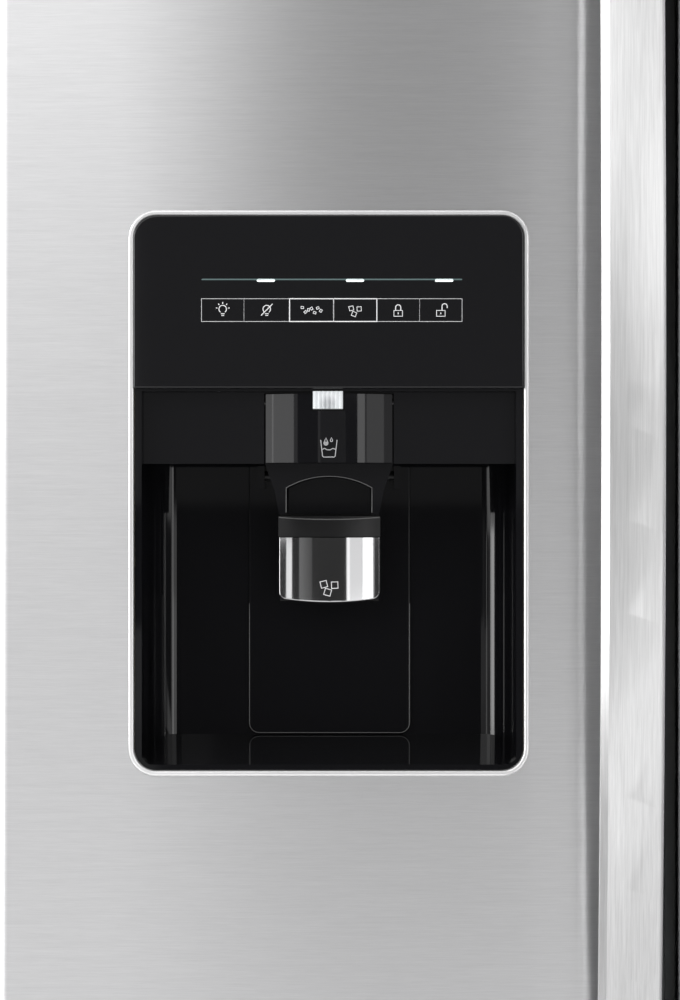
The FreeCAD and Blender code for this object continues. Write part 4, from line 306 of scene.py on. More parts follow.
# %% Moulded texture group, for plastics and paint


def moulded_texture():
    """The even sparkle that a textured mould or a rolled paint leaves, and a slow change under it."""
    group, entry, leave = new_group(
        "moulded texture",
        [("Vector", "NodeSocketVector", None), ("Grain Size", "NodeSocketFloat", 900.0)],
        [("Height", "NodeSocketFloat"), ("Slow", "NodeSocketFloat")],
    )
    grain = add(group, "ShaderNodeTexNoise")
    grain.inputs["Detail"].default_value = 2.0
    group.links.new(entry.outputs["Vector"], grain.inputs["Vector"])
    group.links.new(entry.outputs["Grain Size"], grain.inputs["Scale"])
    slow = add(group, "ShaderNodeTexNoise")
    slow.inputs["Scale"].default_value = 4.0
    slow.inputs["Detail"].default_value = 3.0
    group.links.new(entry.outputs["Vector"], slow.inputs["Vector"])
    group.links.new(grain.outputs["Fac"], leave.inputs["Height"])
    group.links.new(slow.outputs["Fac"], leave.inputs["Slow"])
    return group


MOULDED = moulded_texture()

# %% [markdown]
# ## Finishes
# One short function makes each kind of finish. The shader itself stays in the material, with plain
# numbers on its own sockets; the groups only vary colour, roughness and height over the surface.

# %% Base of every finish
finishes = {}


def principled(name, colour, **values):
    """A material with a Principled shader, its Object coordinates and constant socket values."""
    material = bpy.data.materials.new(name)
    material.use_nodes = True
    tree = material.node_tree
    shader = tree.nodes["Principled BSDF"]
    shader.inputs["Base Color"].default_value = (*colour, 1)
    for socket, value in values.items():
        shader.inputs[socket.replace("_", " ")].default_value = value
    coordinates = add(tree, "ShaderNodeTexCoord")
    finishes[name] = material
    return tree, shader, coordinates.outputs["Object"]


def use_group(tree, group, vector, **values):
    """Place a shader group in a material."""
    placed = add(tree, "ShaderNodeGroup", node_tree=group)
    tree.links.new(vector, placed.inputs["Vector"])
    for socket, value in values.items():
        placed.inputs[socket.replace("_", " ")].default_value = value
    return placed


def vary_colour(tree, shader, mask, low, high):
    """Base colour that runs between two colours with a mask."""
    ramp = add(tree, "ShaderNodeValToRGB")
    ramp.color_ramp.elements[0].position = 0.3
    ramp.color_ramp.elements[1].position = 0.7
    ramp.color_ramp.elements[0].color = (*low, 1)
    ramp.color_ramp.elements[1].color = (*high, 1)
    tree.links.new(mask, ramp.inputs["Fac"])
    tree.links.new(ramp.outputs["Color"], shader.inputs["Base Color"])


def vary_roughness(tree, shader, mask, low, high):
    """Roughness that runs between two values with a mask."""
    spread = add(tree, "ShaderNodeMapRange")
    spread.inputs["From Min"].default_value = 0.3
    spread.inputs["From Max"].default_value = 0.7
    spread.inputs["To Min"].default_value = low
    spread.inputs["To Max"].default_value = high
    tree.links.new(mask, spread.inputs["Value"])
    tree.links.new(spread.outputs["Result"], shader.inputs["Roughness"])


def raise_surface(tree, shader, height, strength, distance):
    """Bump from a height value."""
    bump = add(tree, "ShaderNodeBump")
    bump.inputs["Strength"].default_value = strength
    bump.inputs["Distance"].default_value = distance
    tree.links.new(height, bump.inputs["Height"])
    tree.links.new(bump.outputs["Normal"], shader.inputs["Normal"])


# %% [markdown]
# ### Brushed stainless steel
# A belt leaves fine parallel scratches. Light spreads across the scratches and hardly along them,
# so the doors, brushed sideways, blur reflections up and down and keep them fairly sharp from
# side to side. The handles are brushed lengthways. Single scratches are far too fine to model:
# the shader's anisotropy gives their smear, and stretched noise gives the few that show. Only the
# front of a door is bare steel, so further back the same material turns to dark paint. That paint
# is made near black, so the gap between the doors also reads as painted shade.

# %% Brushed steel


def brushed_steel(name, colour, group, turn, roughness, spread):
    """Steel with a grain; turn lays the highlight across it, spread is how far its streaks differ."""
    shade = [channel * (1 - spread) for channel in colour]
    light = [channel * (1 + spread) for channel in colour]
    tree, shader, place = principled(
        name, colour, Metallic=1.0, Roughness=roughness, Anisotropic=0.88, Anisotropic_Rotation=turn
    )
    grain = use_group(tree, group, place)
    vary_colour(tree, shader, grain.outputs["Streaks"], shade, light)
    raise_surface(tree, shader, grain.outputs["Height"], 0.12, 0.05 * MM)
    tangent = add(tree, "ShaderNodeTangent", direction_type="RADIAL", axis="Z")
    tree.links.new(tangent.outputs["Tangent"], shader.inputs["Tangent"])
    return tree, shader, place


def side_paint_and_gap_shade(tree, shader, place, depth, paint):
    """Dark paint on whatever lies further back than a depth, as on a steel door's sides; near black, it
    is also painted shade in the gap between doors.
    """
    split = add(tree, "ShaderNodeSeparateXYZ")
    tree.links.new(place, split.inputs["Vector"])
    behind = add(tree, "ShaderNodeMath", operation="GREATER_THAN")
    behind.inputs[1].default_value = depth
    tree.links.new(split.outputs["Y"], behind.inputs[0])
    shade = add(tree, "ShaderNodeMix", data_type="RGBA")
    tree.links.new(behind.outputs["Value"], shade.inputs["Factor"])
    tree.links.new(shader.inputs["Base Color"].links[0].from_socket, shade.inputs[6])
    shade.inputs[7].default_value = (*paint, 1)
    tree.links.new(shade.outputs[2], shader.inputs["Base Color"])
    metal = add(tree, "ShaderNodeMath", operation="SUBTRACT")
    metal.inputs[0].default_value = 1.0
    tree.links.new(behind.outputs["Value"], metal.inputs[1])
    tree.links.new(metal.outputs["Value"], shader.inputs["Metallic"])


FACE_DEPTH = 15.4 * MM
# Near-black door sides: partly their real dark paint, partly painted shade in the gap between the doors.
SIDE_PAINT_AND_GAP_SHADE = (0.012, 0.012, 0.012)
door_steel = brushed_steel("stainless", (0.66, 0.66, 0.665), GRAIN_ACROSS, 0.25, 0.34, 0.065)
side_paint_and_gap_shade(*door_steel, DOOR_FRONT + FACE_DEPTH, SIDE_PAINT_AND_GAP_SHADE)
brushed_steel("handle_steel", (0.67, 0.67, 0.67), GRAIN_UPRIGHT, 0.0, 0.34, 0.14)
print("doors painted behind y", round(DOOR_FRONT + FACE_DEPTH, 4))

# %% [markdown]
# ### Bright metals
# Plated and polished metal is smooth, so its look is nearly all in its roughness and its shade. A
# mask that changes slowly makes the polish a little uneven, which plain numbers can't. The trim
# round the recess is a silver paint, so it is only partly metallic.

# %% Bright metals


def bright_metal(name, colour, roughness, metallic=1.0):
    """Smooth metal with a slow change of polish; a lower metallic value makes it a silver paint."""
    tree, shader, place = principled(name, colour, Metallic=metallic, Roughness=roughness)
    texture = use_group(tree, MOULDED, place, Grain_Size=600.0)
    vary_roughness(tree, shader, texture.outputs["Slow"], roughness * 0.8, roughness * 1.3)
    raise_surface(tree, shader, texture.outputs["Height"], 0.03, 0.02 * MM)


bright_metal("polished", (0.86, 0.86, 0.87), 0.06)
bright_metal("chromed_pad", (0.54, 0.54, 0.545), 0.06)
bright_metal("satin_trim", (0.92, 0.92, 0.92), 0.2, metallic=0.55)
bright_metal("bare_aluminium", (0.78, 0.79, 0.80), 0.32)
print("metals", ", ".join(finishes))

# %% [markdown]
# ### Plastics, rubber and paint
# Moulded plastic keeps the fine texture of its mould, and rolled or sprayed paint has one like
# it. Each could be a material built by hand, but they differ only in their numbers, so one
# function takes the colour, the roughness, the size of the grain and its depth.

# %% Plastics, rubber and paint


def moulded(name, colour, roughness, grain_size, depth, spread=0.06, **values):
    """A moulded or painted surface with a fine even texture and a slight change of shade."""
    tree, shader, place = principled(name, colour, Roughness=roughness, **values)
    texture = use_group(tree, MOULDED, place, Grain_Size=grain_size)
    low = [channel * (1 - spread) for channel in colour]
    high = [min(1.0, channel * (1 + spread)) for channel in colour]
    vary_colour(tree, shader, texture.outputs["Slow"], low, high)
    vary_roughness(tree, shader, texture.outputs["Slow"], roughness * 0.9, roughness * 1.12)
    raise_surface(tree, shader, texture.outputs["Height"], 0.25, depth)


moulded("gloss_black", (0.006, 0.006, 0.007), 0.05, 500.0, 0.002 * MM, Specular_IOR_Level=0.4)
moulded("matte_black", (0.018, 0.018, 0.019), 0.4, 1600.0, 0.04 * MM)
moulded("satin_black", (0.012, 0.012, 0.0125), 0.3, 1600.0, 0.03 * MM, Specular_IOR_Level=0.22)
moulded("grey_plastic", (0.20, 0.20, 0.205), 0.45, 1400.0, 0.05 * MM)
moulded("white_plastic", (0.80, 0.81, 0.81), 0.3, 900.0, 0.01 * MM, spread=0.02)
moulded("gasket", (0.16, 0.16, 0.165), 0.55, 1200.0, 0.03 * MM)
moulded("rubber", (0.025, 0.025, 0.025), 0.7, 1500.0, 0.06 * MM)
moulded("cabinet_paint", (0.105, 0.105, 0.11), 0.42, 700.0, 0.12 * MM)
moulded("coated_wire", (0.82, 0.82, 0.82), 0.25, 500.0, 0.01 * MM, spread=0.02)
moulded("foam", (0.80, 0.68, 0.42), 0.9, 600.0, 0.2 * MM)
moulded("inner_steel", (0.55, 0.56, 0.56), 0.4, 300.0, 0.03 * MM, Metallic=0.6)

# %% [markdown]
# ### Clear plastic and glass
# Bins, drawer fronts and shelves are thin and clear. Bending light through them would need many
# bounces and shows little on a thin wall, so they are tinted slightly and let most of the light
# straight through.

# %% Clear plastic and glass


def clear(name, colour, roughness):
    """A thin clear moulding or a pane, tinted a little."""
    tree, shader, place = principled(name, colour, Roughness=roughness, IOR=1.46, Alpha=0.32)
    texture = use_group(tree, MOULDED, place, Grain_Size=300.0)
    vary_roughness(tree, shader, texture.outputs["Slow"], roughness * 0.7, roughness * 1.4)


clear("clear_plastic", (0.86, 0.92, 0.95), 0.08)
clear("shelf_glass", (0.72, 0.88, 0.82), 0.04)
print("finishes so far", len(finishes))

# %% [markdown]
# ### Lit and printed finishes
# The lights in the panel glow on their own, so they keep their brightness from every side. The
# inks are printed: matt, thin and plain. They could be painted into the panel's own colour, but as
# pieces of their own they stay sharp at any distance.

# %% Ink, lights and the lit lens


def glowing(name, colour, strength):
    """A translucent moulding with a lamp behind it."""
    tree, shader, place = principled(
        name, colour, Roughness=0.35, Emission_Color=(*colour, 1), Emission_Strength=strength
    )
    texture = use_group(tree, MOULDED, place, Grain_Size=800.0)
    vary_roughness(tree, shader, texture.outputs["Slow"], 0.3, 0.42)


glowing("indicator_white", (0.90, 0.97, 0.97), 0.9)
glowing("indicator_dim", (0.055, 0.085, 0.085), 0.8)
moulded("white_ink", (0.62, 0.62, 0.63), 0.5, 2000.0, 0.01 * MM, spread=0.03)
moulded("bright_ink", (0.85, 0.85, 0.86), 0.5, 2000.0, 0.01 * MM, spread=0.03)
moulded("grey_ink", (0.42, 0.42, 0.43), 0.5, 2000.0, 0.01 * MM, spread=0.03)
moulded("dark_ink", (0.05, 0.05, 0.055), 0.5, 2000.0, 0.01 * MM, spread=0.03)
# Light grey for the beads along dark edges: a painted highlight.
moulded("painted_highlight_grey", (0.13, 0.13, 0.13), 0.25, 900.0, 0.004 * MM)

# %% [markdown]
# ### The lit lens
# The recess is lit through clear ribs, which shine all over except where the lamp's foot blocks
# the light. A real lamp behind real glass would be slow and noisy at this size. Instead the ribs
# glow on their own, and the distance from the foot sets how much.

# %% Lit lens
LAMP_FOOT_RISE = 2.5 * MM
LAMP_FOOT_CORE = 2.0 * MM
LAMP_FOOT_EDGE = 6.0 * MM


def lit_lens():
    """Clear ribs over a lamp: bright all over, greyer where the lamp's foot stands behind them."""
    tree, shader, place = principled(
        "lit_lens", (0.45, 0.47, 0.48), Roughness=0.15, IOR=1.49, Emission_Strength=0.42
    )
    apart = add(tree, "ShaderNodeVectorMath", operation="DISTANCE")
    foot = (middle(lens_low, lens_high).x, lens_low.y, lens_low.z + LAMP_FOOT_RISE)
    apart.inputs[1].default_value = foot
    tree.links.new(place, apart.inputs[0])
    spread = add(tree, "ShaderNodeMapRange")
    spread.inputs["From Min"].default_value = LAMP_FOOT_CORE
    spread.inputs["From Max"].default_value = LAMP_FOOT_EDGE
    tree.links.new(apart.outputs["Value"], spread.inputs["Value"])
    ramp = add(tree, "ShaderNodeValToRGB")
    ramp.color_ramp.elements[0].color = (0.16, 0.16, 0.17, 1)
    ramp.color_ramp.elements[1].color = (0.80, 0.82, 0.83, 1)
    tree.links.new(spread.outputs["Result"], ramp.inputs["Fac"])
    tree.links.new(ramp.outputs["Color"], shader.inputs["Emission Color"])


lit_lens()

# %% [markdown]
# ## Printed marks
# The panel and the two pads carry plain signs, drawn here in millimetres as strokes. A stroke is a
# thin round line, made from a curve with a bevel, turned into a mesh and flattened on the surface
# it is printed on. That keeps every sign a few points or one formula, and closed on all sides.

# %% Points of arcs and boxes


def ring_points(x, z, radius, start=0.0, end=360.0, count=16):
    """Points along an arc; angles run from +X towards +Z."""
    points = []
    for step in range(count + 1):
        angle = math.radians(start + (end - start) * step / count)
        points.append((x + radius * math.cos(angle), z + radius * math.sin(angle)))
    return points


def box_points(x, z, width, height, turn=0.0):
    """The four corners of a rectangle about its middle."""
    corners = []
    for across, up in ((-1, -1), (1, -1), (1, 1), (-1, 1)):
        corner = Matrix.Rotation(math.radians(turn), 2) @ Vector((across * width / 2, up * height / 2))
        corners.append((x + corner.x, z + corner.y))
    return corners


# %% Curves made into meshes
PRINT_RELIEF = 0.12 * MM


def curve_mesh(curve):
    """The solid shape of a curve or a text as a bmesh; the curve itself is thrown away."""
    drawing = bpy.data.objects.new(curve.name, curve)
    scene.collection.objects.link(drawing)
    bpy.context.view_layer.update()
    shape = drawing.evaluated_get(bpy.context.evaluated_depsgraph_get())
    bm = bmesh.new()
    bm.from_mesh(shape.to_mesh())
    bpy.data.objects.remove(drawing)
    bpy.data.curves.remove(curve)
    return bm


def stroke_mesh(name, strokes, closed, line_width):
    """Round lines through (x, y, z) points, as one bmesh with closed ends."""
    curve = bpy.data.curves.new(name, "CURVE")
    curve.dimensions = "3D"
    curve.bevel_depth = line_width / 2
    curve.bevel_resolution = 1
    curve.use_fill_caps = True
    for points, loop in zip(strokes, closed):
        spline = curve.splines.new("POLY")
        spline.points.add(len(points) - 1)
        for point, place in zip(spline.points, points):
            point.co = (*place, 1)
        spline.use_cyclic_u = loop
    return curve_mesh(curve)


def finished(name, bm, finish, body):
    """Link a bmesh as an object with one finish, on the body it moves with."""
    made = link_object(name, mesh_from(bm, name))
    made.data.materials.append(finishes[finish])
    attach(made, body)


def in_metres(strokes):
    """Strokes drawn in millimetres, in metres."""
    return [[(x * MM, z * MM) for x, z in points] for points in strokes]


def printed(name, strokes, closed, line_width, place, finish, body):
    """Strokes of (x, z) points about a place on a surface that faces -Y, as one thin mesh."""
    flat = [[(x, 0, z) for x, z in points] for points in strokes]
    bm = stroke_mesh(name, flat, closed, line_width)
    bmesh.ops.scale(bm, verts=bm.verts, vec=(1, PRINT_RELIEF / line_width, 1))
    bmesh.ops.translate(bm, verts=bm.verts, vec=place)
    finished(name, bm, finish, body)


# %% [markdown]
# ### Control panel
# A fine light line runs across the panel with three brighter lights in it. Each light is a cube
# stretched to a bar, with its four corner edges bevelled until the ends are round: a few faces,
# and the same function makes the long line.

# %% Indicator line and lights
PANEL_WIDTH = (panel_high - panel_low).x
ROW_LOW = DISPENSER_X - 0.3255 * PANEL_WIDTH
ROW_HIGH = DISPENSER_X + 0.3405 * PANEL_WIDTH
PANEL_FACE = panel_low.y
INDICATOR_Z = panel_low.z + 63.5 * MM
LINE_HEIGHT = 0.8 * MM
LIGHT_LENGTH = 10.6 * MM
LIGHT_HEIGHT = 1.7 * MM
LIGHT_DROP = 0.5 * MM
LIGHT_SHARES = (0.247, 0.589, 0.931)
BAR_DEPTH = 0.5 * MM


def light_bar(name, x, z, length, height, finish):
    """A rounded bar that stands a little out of the panel."""
    bm = bmesh.new()
    bmesh.ops.create_cube(bm, size=1)
    bmesh.ops.scale(bm, verts=bm.verts, vec=(length, BAR_DEPTH, height))
    corners = [edge for edge in bm.edges if abs((edge.verts[0].co - edge.verts[1].co).y) > BAR_DEPTH / 2]
    bmesh.ops.bevel(
        bm, geom=corners, offset=height * 0.48, segments=4, profile=0.5, affect="EDGES", material=-1
    )
    bmesh.ops.translate(bm, verts=bm.verts, vec=(x, PANEL_FACE, z))
    finished(name, bm, finish, "freezer_door")


row_middle = (ROW_LOW + ROW_HIGH) / 2
light_bar("indicator_line", row_middle, INDICATOR_Z, ROW_HIGH - ROW_LOW, LINE_HEIGHT, "indicator_dim")
for number, share in enumerate(LIGHT_SHARES):
    light_x = ROW_LOW + share * (ROW_HIGH - ROW_LOW)
    light_bar(
        "indicator_" + str(number + 1),
        light_x,
        INDICATOR_Z - LIGHT_DROP,
        LIGHT_LENGTH,
        LIGHT_HEIGHT,
        "indicator_white",
    )
print("indicators from x", round(ROW_LOW, 4), "to", round(ROW_HIGH, 4), "at z", round(INDICATOR_Z, 4))

# %% [markdown]
# ### Touch cells
# Under the lights a row of six touch cells has thin frames, two of them bolder. The cells share
# their edges, so one list of shares of the row's width places all of them.

# %% Frames of the touch cells
CELL_HEIGHT = 13.3 * MM
CELL_Z = panel_low.z + 45.6 * MM
CELL_SHARES = (0.163, 0.338, 0.507, 0.673, 0.837)
cell_edges = [ROW_LOW + share * (ROW_HIGH - ROW_LOW) for share in CELL_SHARES]
cell_edges = [ROW_LOW, *cell_edges, ROW_HIGH]
BOLD_CELLS = (2, 3)
BOLD_LINE = 0.9 * MM
FINE_LINE = 0.5 * MM
for number in range(len(cell_edges) - 1):
    left, right = cell_edges[number], cell_edges[number + 1]
    bold = number in BOLD_CELLS
    outline = box_points(0, 0, right - left, CELL_HEIGHT)
    printed(
        "cell_frame_" + str(number + 1),
        [outline],
        [True],
        BOLD_LINE if bold else FINE_LINE,
        ((left + right) / 2, PANEL_FACE, CELL_Z),
        "bright_ink" if bold else "white_ink",
        "freezer_door",
    )
print("touch cells", len(cell_edges) - 1)

# %% [markdown]
# ### Signs in the cells
# The six signs stand for lamp on, lamp off, crushed ice, ice cubes, locked and unlocked. Letters
# would have to be read; a sign of a few strokes is known at a glance. Each function below draws
# one about the point (0, 0), so the same sign can be printed anywhere.

# %% Signs in the cells


def lamp_sign(crossed):
    """A lamp bulb over its cap, crossed out or with rays."""
    bulb = Vector((0, 0.6))
    strokes = [
        ring_points(bulb.x, bulb.y, 2.2, -55, 235),
        [(-1.1, -2.1), (1.1, -2.1)],
        [(-0.8, -3.1), (0.8, -3.1)],
    ]
    if crossed:
        strokes.append([(-3.4, -3.2), (3.4, 3.6)])
    else:
        for angle in (10, 50, 90, 130, 170):
            ray = Vector((math.cos(math.radians(angle)), math.sin(math.radians(angle))))
            strokes.append([tuple(bulb + ray * 3.1), tuple(bulb + ray * 4.1)])
    return strokes, [False] * len(strokes)


def chips_sign():
    """Crushed ice: small pieces lying all ways."""
    strokes = []
    for number in range(7):
        x = -5.4 + 1.8 * number
        z = 1.5 * math.cos(2.4 * number)
        strokes.append(box_points(x, z, 1.5, 1.2, 40 * number))
    return strokes, [True] * len(strokes)


def cubes_sign(size, spread, turns=(12, 3, -20)):
    """Ice cubes: two squares over one, each turned a little."""
    places = ((-spread, spread * 0.45), (spread, spread * 0.3), (-spread * 0.3, -spread))
    strokes = [box_points(x, z, size, size, turn) for (x, z), turn in zip(places, turns)]
    return strokes, [True] * len(strokes)


def lock_sign(lift):
    """A padlock, with its shackle down or lifted and swung aside."""
    loose_end = 1.2 if lift else -0.2
    bow = ring_points(lift, 1.6 + abs(lift) * 0.3, 1.5, 180, 0, 10)
    shackle = [(-1.5 + lift, -0.2), *bow, (1.5 + lift, loose_end)]
    strokes = [box_points(0, -1.9, 5.0, 3.4), shackle, [(0, -1.4), (0, -2.4)]]
    return strokes, [True, False, False]


SIGN_LINE = 0.55 * MM
signs = [
    lamp_sign(False),
    lamp_sign(True),
    chips_sign(),
    cubes_sign(2.5, 2.3),
    lock_sign(0),
    lock_sign(2.2),
]
for number, (strokes, closed) in enumerate(signs):
    name = "cell_sign_" + str(number + 1)
    place = ((cell_edges[number] + cell_edges[number + 1]) / 2, PANEL_FACE, CELL_Z)
    printed(name, in_metres(strokes), closed, SIGN_LINE, place, "bright_ink", "freezer_door")
print("signs", len(signs))

# %% [markdown]
# ### Signs on the two pads
# The upper pad gives water: a glass with two drops falling into it. The lower pad gives ice: three
# cubes. Both are printed on bowed faces. They are small enough to be drawn flat, so each sits at
# the foremost line of its pad, and the water sign is sunk a hair to meet the curve.

# %% Glass and drops


def drop_points(x, z, radius):
    """A drop with a round foot and a pointed top."""
    return ring_points(x, z, radius, 150, 390, 12) + [(x, z + 2.6 * radius)]


WATER_MARK_Z = water_low.z + 9.2 * MM
WATER_MARK_SINK = 0.02 * MM
WATER_LINE = 0.62 * MM
glass = [
    [(-4.8, 4.0), (-3.7, -5.4), (-3.1, -6.0), (3.1, -6.0), (3.7, -5.4), (4.8, 4.0)],
    [(-4.1, -1.7), (-2.6, -0.9), (-0.9, -1.8), (0.7, -1.8), (2.3, -0.9), (4.1, -1.6)],
    drop_points(-1.7, 2.2, 1.2),
    drop_points(1.5, 3.7, 0.65),
    ring_points(-1.7, 2.2, 0.55),
]
glass_closed = [False, False, True, True, True]
place = (middle(water_low, water_high).x, water_low.y + WATER_MARK_SINK, WATER_MARK_Z)
printed("water_sign", in_metres(glass), glass_closed, WATER_LINE, place, "grey_ink", "water_pad")

# %% Cubes
ICE_MARK_Z = ice_low.z + 9.9 * MM
ICE_LINE = 0.8 * MM
strokes, closed = cubes_sign(3.9, 3.3, (14, 2, -15))
place = (middle(ice_low, ice_high).x, ice_low.y, ICE_MARK_Z)
printed("ice_sign", in_metres(strokes), closed, ICE_LINE, place, "bright_ink", "ice_lever")
print("pad signs at z", round(WATER_MARK_Z, 4), round(ICE_MARK_Z, 4))

# %% [markdown]
# ## Moulded beads
# Three edges of the dispenser are finished with a fine rounded bead: the arch of the funnel, the
# lip over the ice pad and the raised plate at the back. A round bead always finds a lamp to
# mirror, so it draws the edge as a light line even where everything round it is black. Its grey is
# also lighter than the black round it, a painted highlight that brightens the line. The edges
# could be bevelled in the parts, but a bead on its own has its own finish and is easy to thin.

# %% Bead along the funnel's arch
chute_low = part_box("ice_chute")[0]
ARCH_HALF = 25.5 * MM
ARCH_RISE = 6.9 * MM
ARCH_SPRING = 15.6 * MM
ARCH_FOOT = 1.0 * MM
ARCH_LINE = 0.55 * MM
arch_radius = (ARCH_HALF ** 2 + ARCH_RISE ** 2) / (2 * ARCH_RISE)
arch_angle = math.degrees(math.asin(ARCH_HALF / arch_radius))
arch_centre = chute_low.z + ARCH_SPRING + ARCH_RISE - arch_radius
foot_z = chute_low.z + ARCH_FOOT
arch = [
    (DISPENSER_X - ARCH_HALF, foot_z),
    *ring_points(DISPENSER_X, arch_centre, arch_radius, 90 + arch_angle, 90 - arch_angle, 24),
    (DISPENSER_X + ARCH_HALF, foot_z),
]
bead = stroke_mesh("arch_bead", [[(x, chute_low.y, z) for x, z in arch]], [False], ARCH_LINE)
finished("arch_bead", bead, "painted_highlight_grey", "freezer_door")

# %% Bead along the lip over the ice pad
LIP_HALF = (ice_high.x - ice_low.x) / 2 - 0.4 * MM
LIP_SINK = 5.2 * MM
LIP_DIP = 1.2 * MM
LIP_INSET = 0.1 * MM
LIP_LINE = 0.95 * MM
LIP_STEPS = 12
lip_top = chute_low.z - 2.2 * MM
lip = []
for step in range(-LIP_STEPS, LIP_STEPS + 1):
    share = step / LIP_STEPS
    x = DISPENSER_X + share * LIP_HALF
    y = ice_low.y + LIP_SINK * share ** 2 + LIP_INSET
    lip.append((x, y, lip_top - LIP_DIP * (1 - share ** 2)))
bead = stroke_mesh("lip_bead", [lip], [False], LIP_LINE)
finished("lip_bead", bead, "painted_highlight_grey", "ice_lever")

# %% Bead round the raised plate at the back of the recess
housing_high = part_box("dispenser_housing")[1]
PLATE_HALF = 49.6 * MM
PLATE_CORNER = 6.0 * MM
PLATE_LINE = 0.5 * MM
plate_y = housing_high.y - 4.4 * MM
plate_foot = bezel_low.z + 17.2 * MM
plate_top = ice_low.z - 1.5 * MM
turn_x = PLATE_HALF - PLATE_CORNER
turn_z = plate_foot + PLATE_CORNER
plate = [
    (DISPENSER_X - PLATE_HALF, plate_top),
    *ring_points(DISPENSER_X - turn_x, turn_z, PLATE_CORNER, 180, 270, 6),
    *ring_points(DISPENSER_X + turn_x, turn_z, PLATE_CORNER, 270, 360, 6),
    (DISPENSER_X + PLATE_HALF, plate_top),
]
bead = stroke_mesh("plate_bead", [[(x, plate_y, z) for x, z in plate]], [False], PLATE_LINE)
finished("plate_bead", bead, "painted_highlight_grey", "freezer_door")
print("beads at z", round(lip_top, 4), "and", round(arch_centre + arch_radius, 4))

# %% [markdown]
# ## Dial scales
# Each of the two dials turns through three quarters of a circle, inside a printed scale of seven
# marks with plain numbers. The numbers start as text and the marks as strokes, and both are made
# meshes, because only meshes travel with the model.

# %% Marks and numbers round the dials
SCALE_STEPS = 7
SCALE_SWEEP = 270.0
MARK_START = 1.5 * MM
MARK_END = 4.0 * MM
MARK_LINE = 0.7 * MM
NUMBER_RING = 7.5 * MM
NUMBER_SIZE = 5.0 * MM
NUMBER_RELIEF = 0.06 * MM
housing_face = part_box("control_housing")[0].y


def number_mesh(text, place):
    """A printed number that faces -Y, as a mesh."""
    curve = bpy.data.curves.new(text, "FONT")
    curve.body = text
    curve.size = NUMBER_SIZE
    curve.extrude = NUMBER_RELIEF
    curve.align_x = "CENTER"
    curve.align_y = "CENTER"
    bm = curve_mesh(curve)
    bmesh.ops.remove_doubles(bm, verts=bm.verts, dist=0.001 * MM)
    bmesh.ops.rotate(bm, verts=bm.verts, matrix=Matrix.Rotation(math.radians(90), 3, "X"))
    bmesh.ops.translate(bm, verts=bm.verts, vec=place)
    return mesh_from(bm, text)


def dial_scale(name, dial):
    """Seven marks and their numbers, printed on the housing round one dial."""
    low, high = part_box(dial)
    radius = (high.x - low.x) / 2
    hub = Vector((middle(low, high).x, housing_face, middle(low, high).z))
    marks = []
    numbers = bmesh.new()
    for step in range(SCALE_STEPS):
        angle = math.radians(90 + SCALE_SWEEP / 2 - SCALE_SWEEP * step / (SCALE_STEPS - 1))
        ray = Vector((math.cos(angle), 0, math.sin(angle)))
        start = ray * (radius + MARK_START)
        end = ray * (radius + MARK_END)
        marks.append([(start.x, start.z), (end.x, end.z)])
        number = number_mesh(str(step + 1), hub + ray * (radius + NUMBER_RING))
        numbers.from_mesh(number)
        bpy.data.meshes.remove(number)
    finished(name + "_numbers", numbers, "dark_ink", "cabinet")
    printed(name + "_marks", marks, [False] * len(marks), MARK_LINE, hub, "dark_ink", "cabinet")


dial_scale("freezer_scale", "freezer_dial")
dial_scale("fridge_scale", "fridge_dial")
print("dial marks", SCALE_STEPS, "on each scale")

# %% [markdown]
# ## Door seals
# A magnetic seal is a soft bellows: a root that snaps into the door, two folds, and a flat chamber
# with the magnet that lies on the cabinet. The section is one formula, a width that swells and
# narrows with depth. It is set up at each corner of the door, mitred, and the four sections are
# bridged into a ring. Sweeping it along a path would pinch it at the corners; a mitre is how the
# real seal is welded.

# %% Bellows section
SEAL_STEPS = 14
SEAL_FOLDS = 2
SEAL_WIDTH = 13 * MM
SEAL_NARROW = 0.62
SEAL_SWELL = 0.3
CHAMBER_FROM = 0.8


def seal_section(depth):
    """Pairs of (inward, depth) round the closed section, from the outer side to the inner."""
    outer = []
    for step in range(SEAL_STEPS + 1):
        share = step / SEAL_STEPS
        fold = 0.5 - 0.5 * math.cos(2 * math.pi * SEAL_FOLDS * share)
        chamber = 1.0 if share > CHAMBER_FROM else 0.0
        half = SEAL_WIDTH / 2 * max(SEAL_NARROW + SEAL_SWELL * fold, chamber)
        outer.append((SEAL_WIDTH / 2 - half, share * depth))
    return outer + [(SEAL_WIDTH - across, back) for across, back in reversed(outer)]


# %% Seal rings


def door_seal(name, node, body):
    """A mitred ring in place of the plain solid."""
    low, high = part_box(node)
    centre = middle(low, high)
    half = (high - low) / 2
    section = seal_section((high - low).y)
    bm = bmesh.new()
    loops = []
    for across, up in ((-1, -1), (1, -1), (1, 1), (-1, 1)):
        ring = []
        for inward, back in section:
            x = centre.x + across * (half.x - inward)
            z = centre.z + up * (half.z - inward)
            ring.append(bm.verts.new((x, low.y + back, z)))
        loops.append([bm.edges.new((ring[i - 1], ring[i])) for i in range(len(ring))])
    for number, loop in enumerate(loops):
        bmesh.ops.bridge_loops(bm, edges=loop + loops[(number + 1) % len(loops)])
    made = link_object(name, mesh_from(bm, name))
    made.data.materials.append(finishes["gasket"])
    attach(made, body)
    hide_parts(node)
    print(name, "faces", len(made.data.polygons))


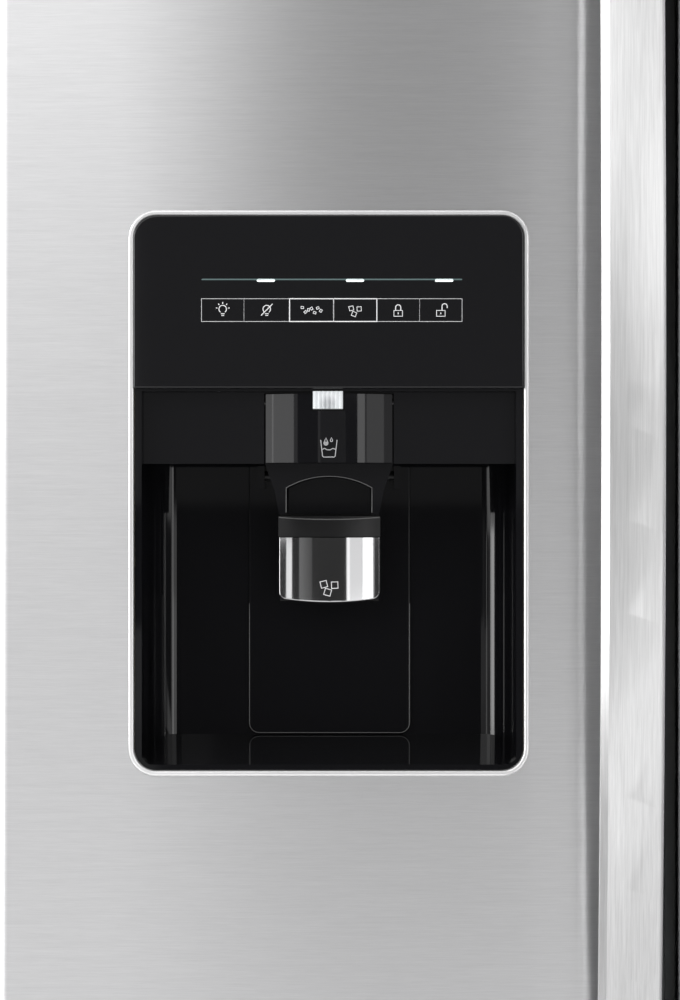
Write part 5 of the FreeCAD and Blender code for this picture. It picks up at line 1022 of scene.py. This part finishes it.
door_seal("freezer_seal", "freezer_door_gasket", "freezer_door")
door_seal("fridge_seal", "fridge_door_gasket", "fridge_door")

# %% [markdown]
# ## Finishes on the parts
# The record names a finish for every part. Four parts of the dispenser take a closer match: the
# lens is lit, the ice lever is satin, and its pad and the trim round the recess have silvers of
# their own.

# %% Give every part its finish
part_slots = {part["node"]: part["material_slot"] for part in frame["record"]["subparts"]}
part_slots["lamp_lens"] = "lit_lens"
part_slots["ice_lever"] = "satin_black"
part_slots["ice_pad"] = "chromed_pad"
part_slots["dispenser_bezel"] = "satin_trim"
for name, node in nodes.items():
    for index in range(len(node.data.materials)):
        node.data.materials[index] = finishes[part_slots[name]]

# %% [markdown]
# ### Floor and cards
# The floor is plain pale paint. A card of pure black would show as a hole in the gloss, so each
# one glows a little. One card fades along its width, because a sharp end would draw a line.

# %% Floor and cards
CARD_BLACK = (0.01, 0.01, 0.01)
DIM_GLOW = 0.18
DARK_GLOW = 0.02
FADE_GLOW = 0.24


def card_finish(name, glow):
    """Matt black that glows evenly, so that a reflection of it is as dark as wanted."""
    return principled(
        name, CARD_BLACK, Roughness=0.9, Emission_Color=(1, 1, 1, 1), Emission_Strength=glow
    )


principled("floor_paint", (0.78, 0.78, 0.78), Roughness=0.6)
floor.data.materials.append(finishes["floor_paint"])
card_finish("card_dim", DIM_GLOW)
card_finish("card_dark", DARK_GLOW)
tree, shader, place = card_finish("card_fading", DARK_GLOW)
split = add(tree, "ShaderNodeSeparateXYZ")
fade = add(tree, "ShaderNodeMapRange")
fade.inputs["From Min"].default_value = FADE_FROM
fade.inputs["From Max"].default_value = FADE_TO
fade.inputs["To Min"].default_value = FADE_GLOW
fade.inputs["To Max"].default_value = DARK_GLOW
tree.links.new(place, split.inputs["Vector"])
tree.links.new(split.outputs["X"], fade.inputs["Value"])
tree.links.new(fade.outputs["Result"], shader.inputs["Emission Strength"])
for finish, made in cards.items():
    for one in made:
        one.data.materials.append(finishes[finish])
print("finishes", len(finishes), "parts", len(nodes))
